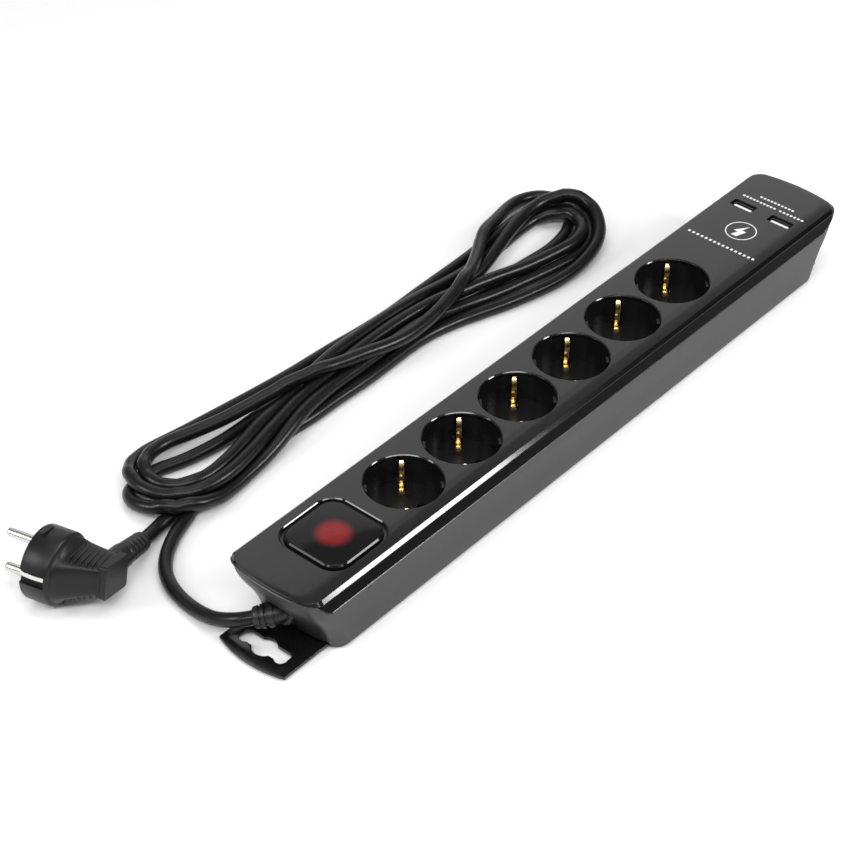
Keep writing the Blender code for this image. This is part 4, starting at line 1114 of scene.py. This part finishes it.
def make_plug_front():
    rings = [[(x, -depth, z) for x, z in circle(radius, 72)] for radius, depth in PLUG_DISC]
    disc = skin("plug_front", in_plug(rings))
    cutters = []
    for side in (-1, 1):
        low, high = sorted((side * 16.4, side * 21))
        notch = [(low, -14), (high, -14), (high, 1), (low, 1)]
        cutters.append(skin("cutter", in_plug([raised(notch, z) for z in (-3.3, 3.3)])))
    earth_hole = [[(9 + x, y, z) for x, z in circle(2.8, 32)] for y in (-12, 1)]
    cutters.append(skin("cutter", in_plug(earth_hole)))
    cut(disc, *cutters)
    soften(disc, 0.25)
    return install(disc, "plug_black", "matt_black", "strip", "plug_body")


def make_plug_grip():
    outline = rounded_rectangle(20, 18, 1.5, 6)
    plate = [[(8.5 + x, -depth, z) for x, z in outline] for depth in (33.6, 38)]
    neck = [around_lead(6.4, x) for x in (6, 27, 28.2, 28.6)]
    tab = [raised(shifted(rounded_rectangle(9, 3, 1), -2, -4), z) for z in (17.6, 19.6)]
    groups = [plug_grip_rings(), plate, neck, tab] + plug_rib_rings()
    grip = skin("plug_grip", *[in_plug(rings) for rings in groups])
    soften(grip, 0.25, angle=40)
    return install(grip, "plug_black", "matt_black", "strip")


def make_plug_sleeve():
    """The ringed boot on the lead: each ring is a ridge and the groove behind it."""
    profile = [(0.01, 28.9), (5.6, 28.9), (5.9, 29.4)]
    for i in range(BOOT_RINGS):
        at, radius = 30.2 + BOOT_RING_PITCH * i, 5.9 - 0.14 * i
        profile += [(radius, at), (radius, at + 1.7), (radius - 0.25, at + 1.95)]
        groove = radius - 1.15
        profile += [(groove, at + 2.05), (groove, at + 2.9), (radius - 0.55, at + 3.0)]
    profile += [(5.0, 46.6), (4.7, 47.0), (3.75, 47.0), (0.01, 46.0)]
    boot = skin("plug_sleeve", in_plug([around_lead(radius, x) for radius, x in profile]))
    soften(boot, 0.1, angle=40)
    return install(boot, "matt_black", "matt_black", "strip", "plug_boot")


def make_prong(index, side):
    profile = [(-9.6, 2.4), (17.4, 2.4)]
    profile += [(17.4 + z, r) for r, z in quarter((0.8, 0), 1.6, 0, 90, 6)]
    profile.append((PLUG_RADIUS, 0.01))
    z = side * PIN_OFFSET
    rings = [[(x, y, z + up) for x, up in circle(radius, 36)] for y, radius in profile]
    prong = skin(f"plug_prong_{index}", in_plug(rings))
    soften(prong, 0, angle=50)
    return install(prong, "nickel", "nickel", "strip", f"plug_pin_{index}")


def make_earth_strip(index, side):
    bow = []
    for y, out in EARTH_BOW:
        low, high = sorted((side * (17.3 + out), side * (18.1 + out)))
        bow.append([(low, y, 0.2), (high, y, 0.2), (high, y, 2.4), (low, y, 2.4)])
    strip = skin(f"plug_strip_{index}", in_plug(bow))
    soften(strip, 0.12, angle=50)
    return install(strip, "nickel", "nickel", "strip", f"plug_earth_contact_{index}")


def make_plug():
    pieces = [make_plug_front(), make_plug_grip(), make_plug_sleeve()]
    for index, side in ((1, 1), (2, -1)):
        pieces += [make_prong(index, side), make_earth_strip(index, side)]
    return pieces


def make_screws():
    for index, (x, y) in enumerate(screw_places()):
        place = Matrix.Translation((x, y, 0))
        screw = skin(f"screw_{index + 1}", turned_rings(SCREW_PROFILE, 32, place))
        arms = []
        for size in ((3.2, 0.6), (0.6, 3.2)):
            arm = shifted(rounded_rectangle(*size, 0.1, 1), x, y)
            arms.append(slab("cutter", arm, 0, 1.5))
        cut(screw, *arms)
        soften(screw, 0.06)
        install(screw, "steel", "steel", "strip", f"housing_screw_{index + 1}")


def make_cord():
    """The lead as one tube along its settled line."""
    points = lead_line()
    curve = bpy.data.curves.new("lead", "CURVE")
    curve.dimensions = "3D"
    curve.bevel_depth = CORD_DIAMETER / 2
    curve.bevel_resolution = 6
    curve.use_fill_caps = True
    spline = curve.splines.new("POLY")
    spline.points.add(len(points) - 1)
    for point, place in zip(spline.points, points):
        point.co = (*place, 1)
    spline.use_smooth = True
    lead = new_object("lead", curve)
    install(lead, "cord_black", "cord_black", "strip", "cord_lead", "cord_hank", "cord_tail")
    length = float(np.linalg.norm(np.diff(points, axis=0), axis=1).sum())
    return lead, length


# Studio


def make_camera():
    data = bpy.data.cameras.new("camera")
    data.lens = CAMERA_LENS
    data.sensor_width = CAMERA_SENSOR
    data.clip_start = 0.01
    data.clip_end = 50
    data.dof.use_dof = False
    camera = new_object("camera", data)
    way = (CAMERA_AIM - CAMERA_PLACE).to_track_quat("-Z", "Y").to_matrix().to_4x4()
    camera.matrix_world = (
        Matrix.Translation(CAMERA_PLACE) @ way @ Matrix.Rotation(CAMERA_ROLL, 4, "Z")
    )
    bpy.context.scene.camera = camera


def soft_light(name, place, target, size, radiance, long_way):
    data = bpy.data.lights.new(name, "AREA")
    data.shape = "RECTANGLE"
    data.size, data.size_y = size
    data.energy = radiance * math.pi * size[0] * size[1]
    light = new_object(name, data)
    back = (Vector(place) - Vector(target)).normalized()
    wide = Vector(long_way)
    wide = (wide - back * back.dot(wide)).normalized()
    axes = Matrix((wide, back.cross(wide), back)).transposed()
    light.matrix_world = Matrix.Translation(place) @ axes.to_4x4()


def make_studio():
    scene = bpy.context.scene
    scene.view_settings.view_transform = "Standard"
    world = bpy.data.worlds.new("studio")
    world.use_nodes = True
    tree = world.node_tree
    background = tree.nodes["Background"]
    background.inputs["Color"].default_value = (1, 1, 1, 1)
    way = node(tree, "ShaderNodeTexCoord").outputs["Generated"]
    toward = node(tree, "ShaderNodeVectorMath", operation="DOT_PRODUCT")
    toward.inputs[1].default_value = DARK_WAY
    tree.links.new(way, toward.inputs[0])
    level = spread(tree, toward.outputs["Value"], WORLD_STRENGTH, DARK_STRENGTH, 0.8, 0.95)
    tree.links.new(level, background.inputs["Strength"])
    scene.world = world
    floor = slab("floor", rounded_rectangle(FLOOR_SIZE, FLOOR_SIZE, 100), -30, -0.2)
    tree, shader = new_material("floor")
    place = node(tree, "ShaderNodeTexCoord").outputs["Object"]
    pale = blend_colours(tree, noise(tree, place, 3.0), (0.93, 0.93, 0.93), (0.95, 0.95, 0.95))
    tree.links.new(pale, shader.inputs["Base Color"])
    shader.inputs["Roughness"].default_value = 0.8
    floor.data.materials.append(MATERIALS["floor"])
    for light in STUDIO_LIGHTS:
        soft_light(*light)


def give_node_materials():
    """Puts the finished materials on the CAD nodes that still show."""
    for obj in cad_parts.values():
        for place in obj.material_slots:
            kind = place.material.name.split(".")[0] if place.material else "satin_black"
            place.material = MATERIALS.get(kind, MATERIALS["satin_black"])


make_camera()
make_materials()
gland = make_gland()
plug_pieces = make_plug()
lead, lead_length = make_cord()
make_cover()
make_housing()
make_seam_trim()
make_wells()
make_clips()
make_button()
make_usb()
make_marks()
make_brackets()
make_screws()
give_node_materials()
make_studio()
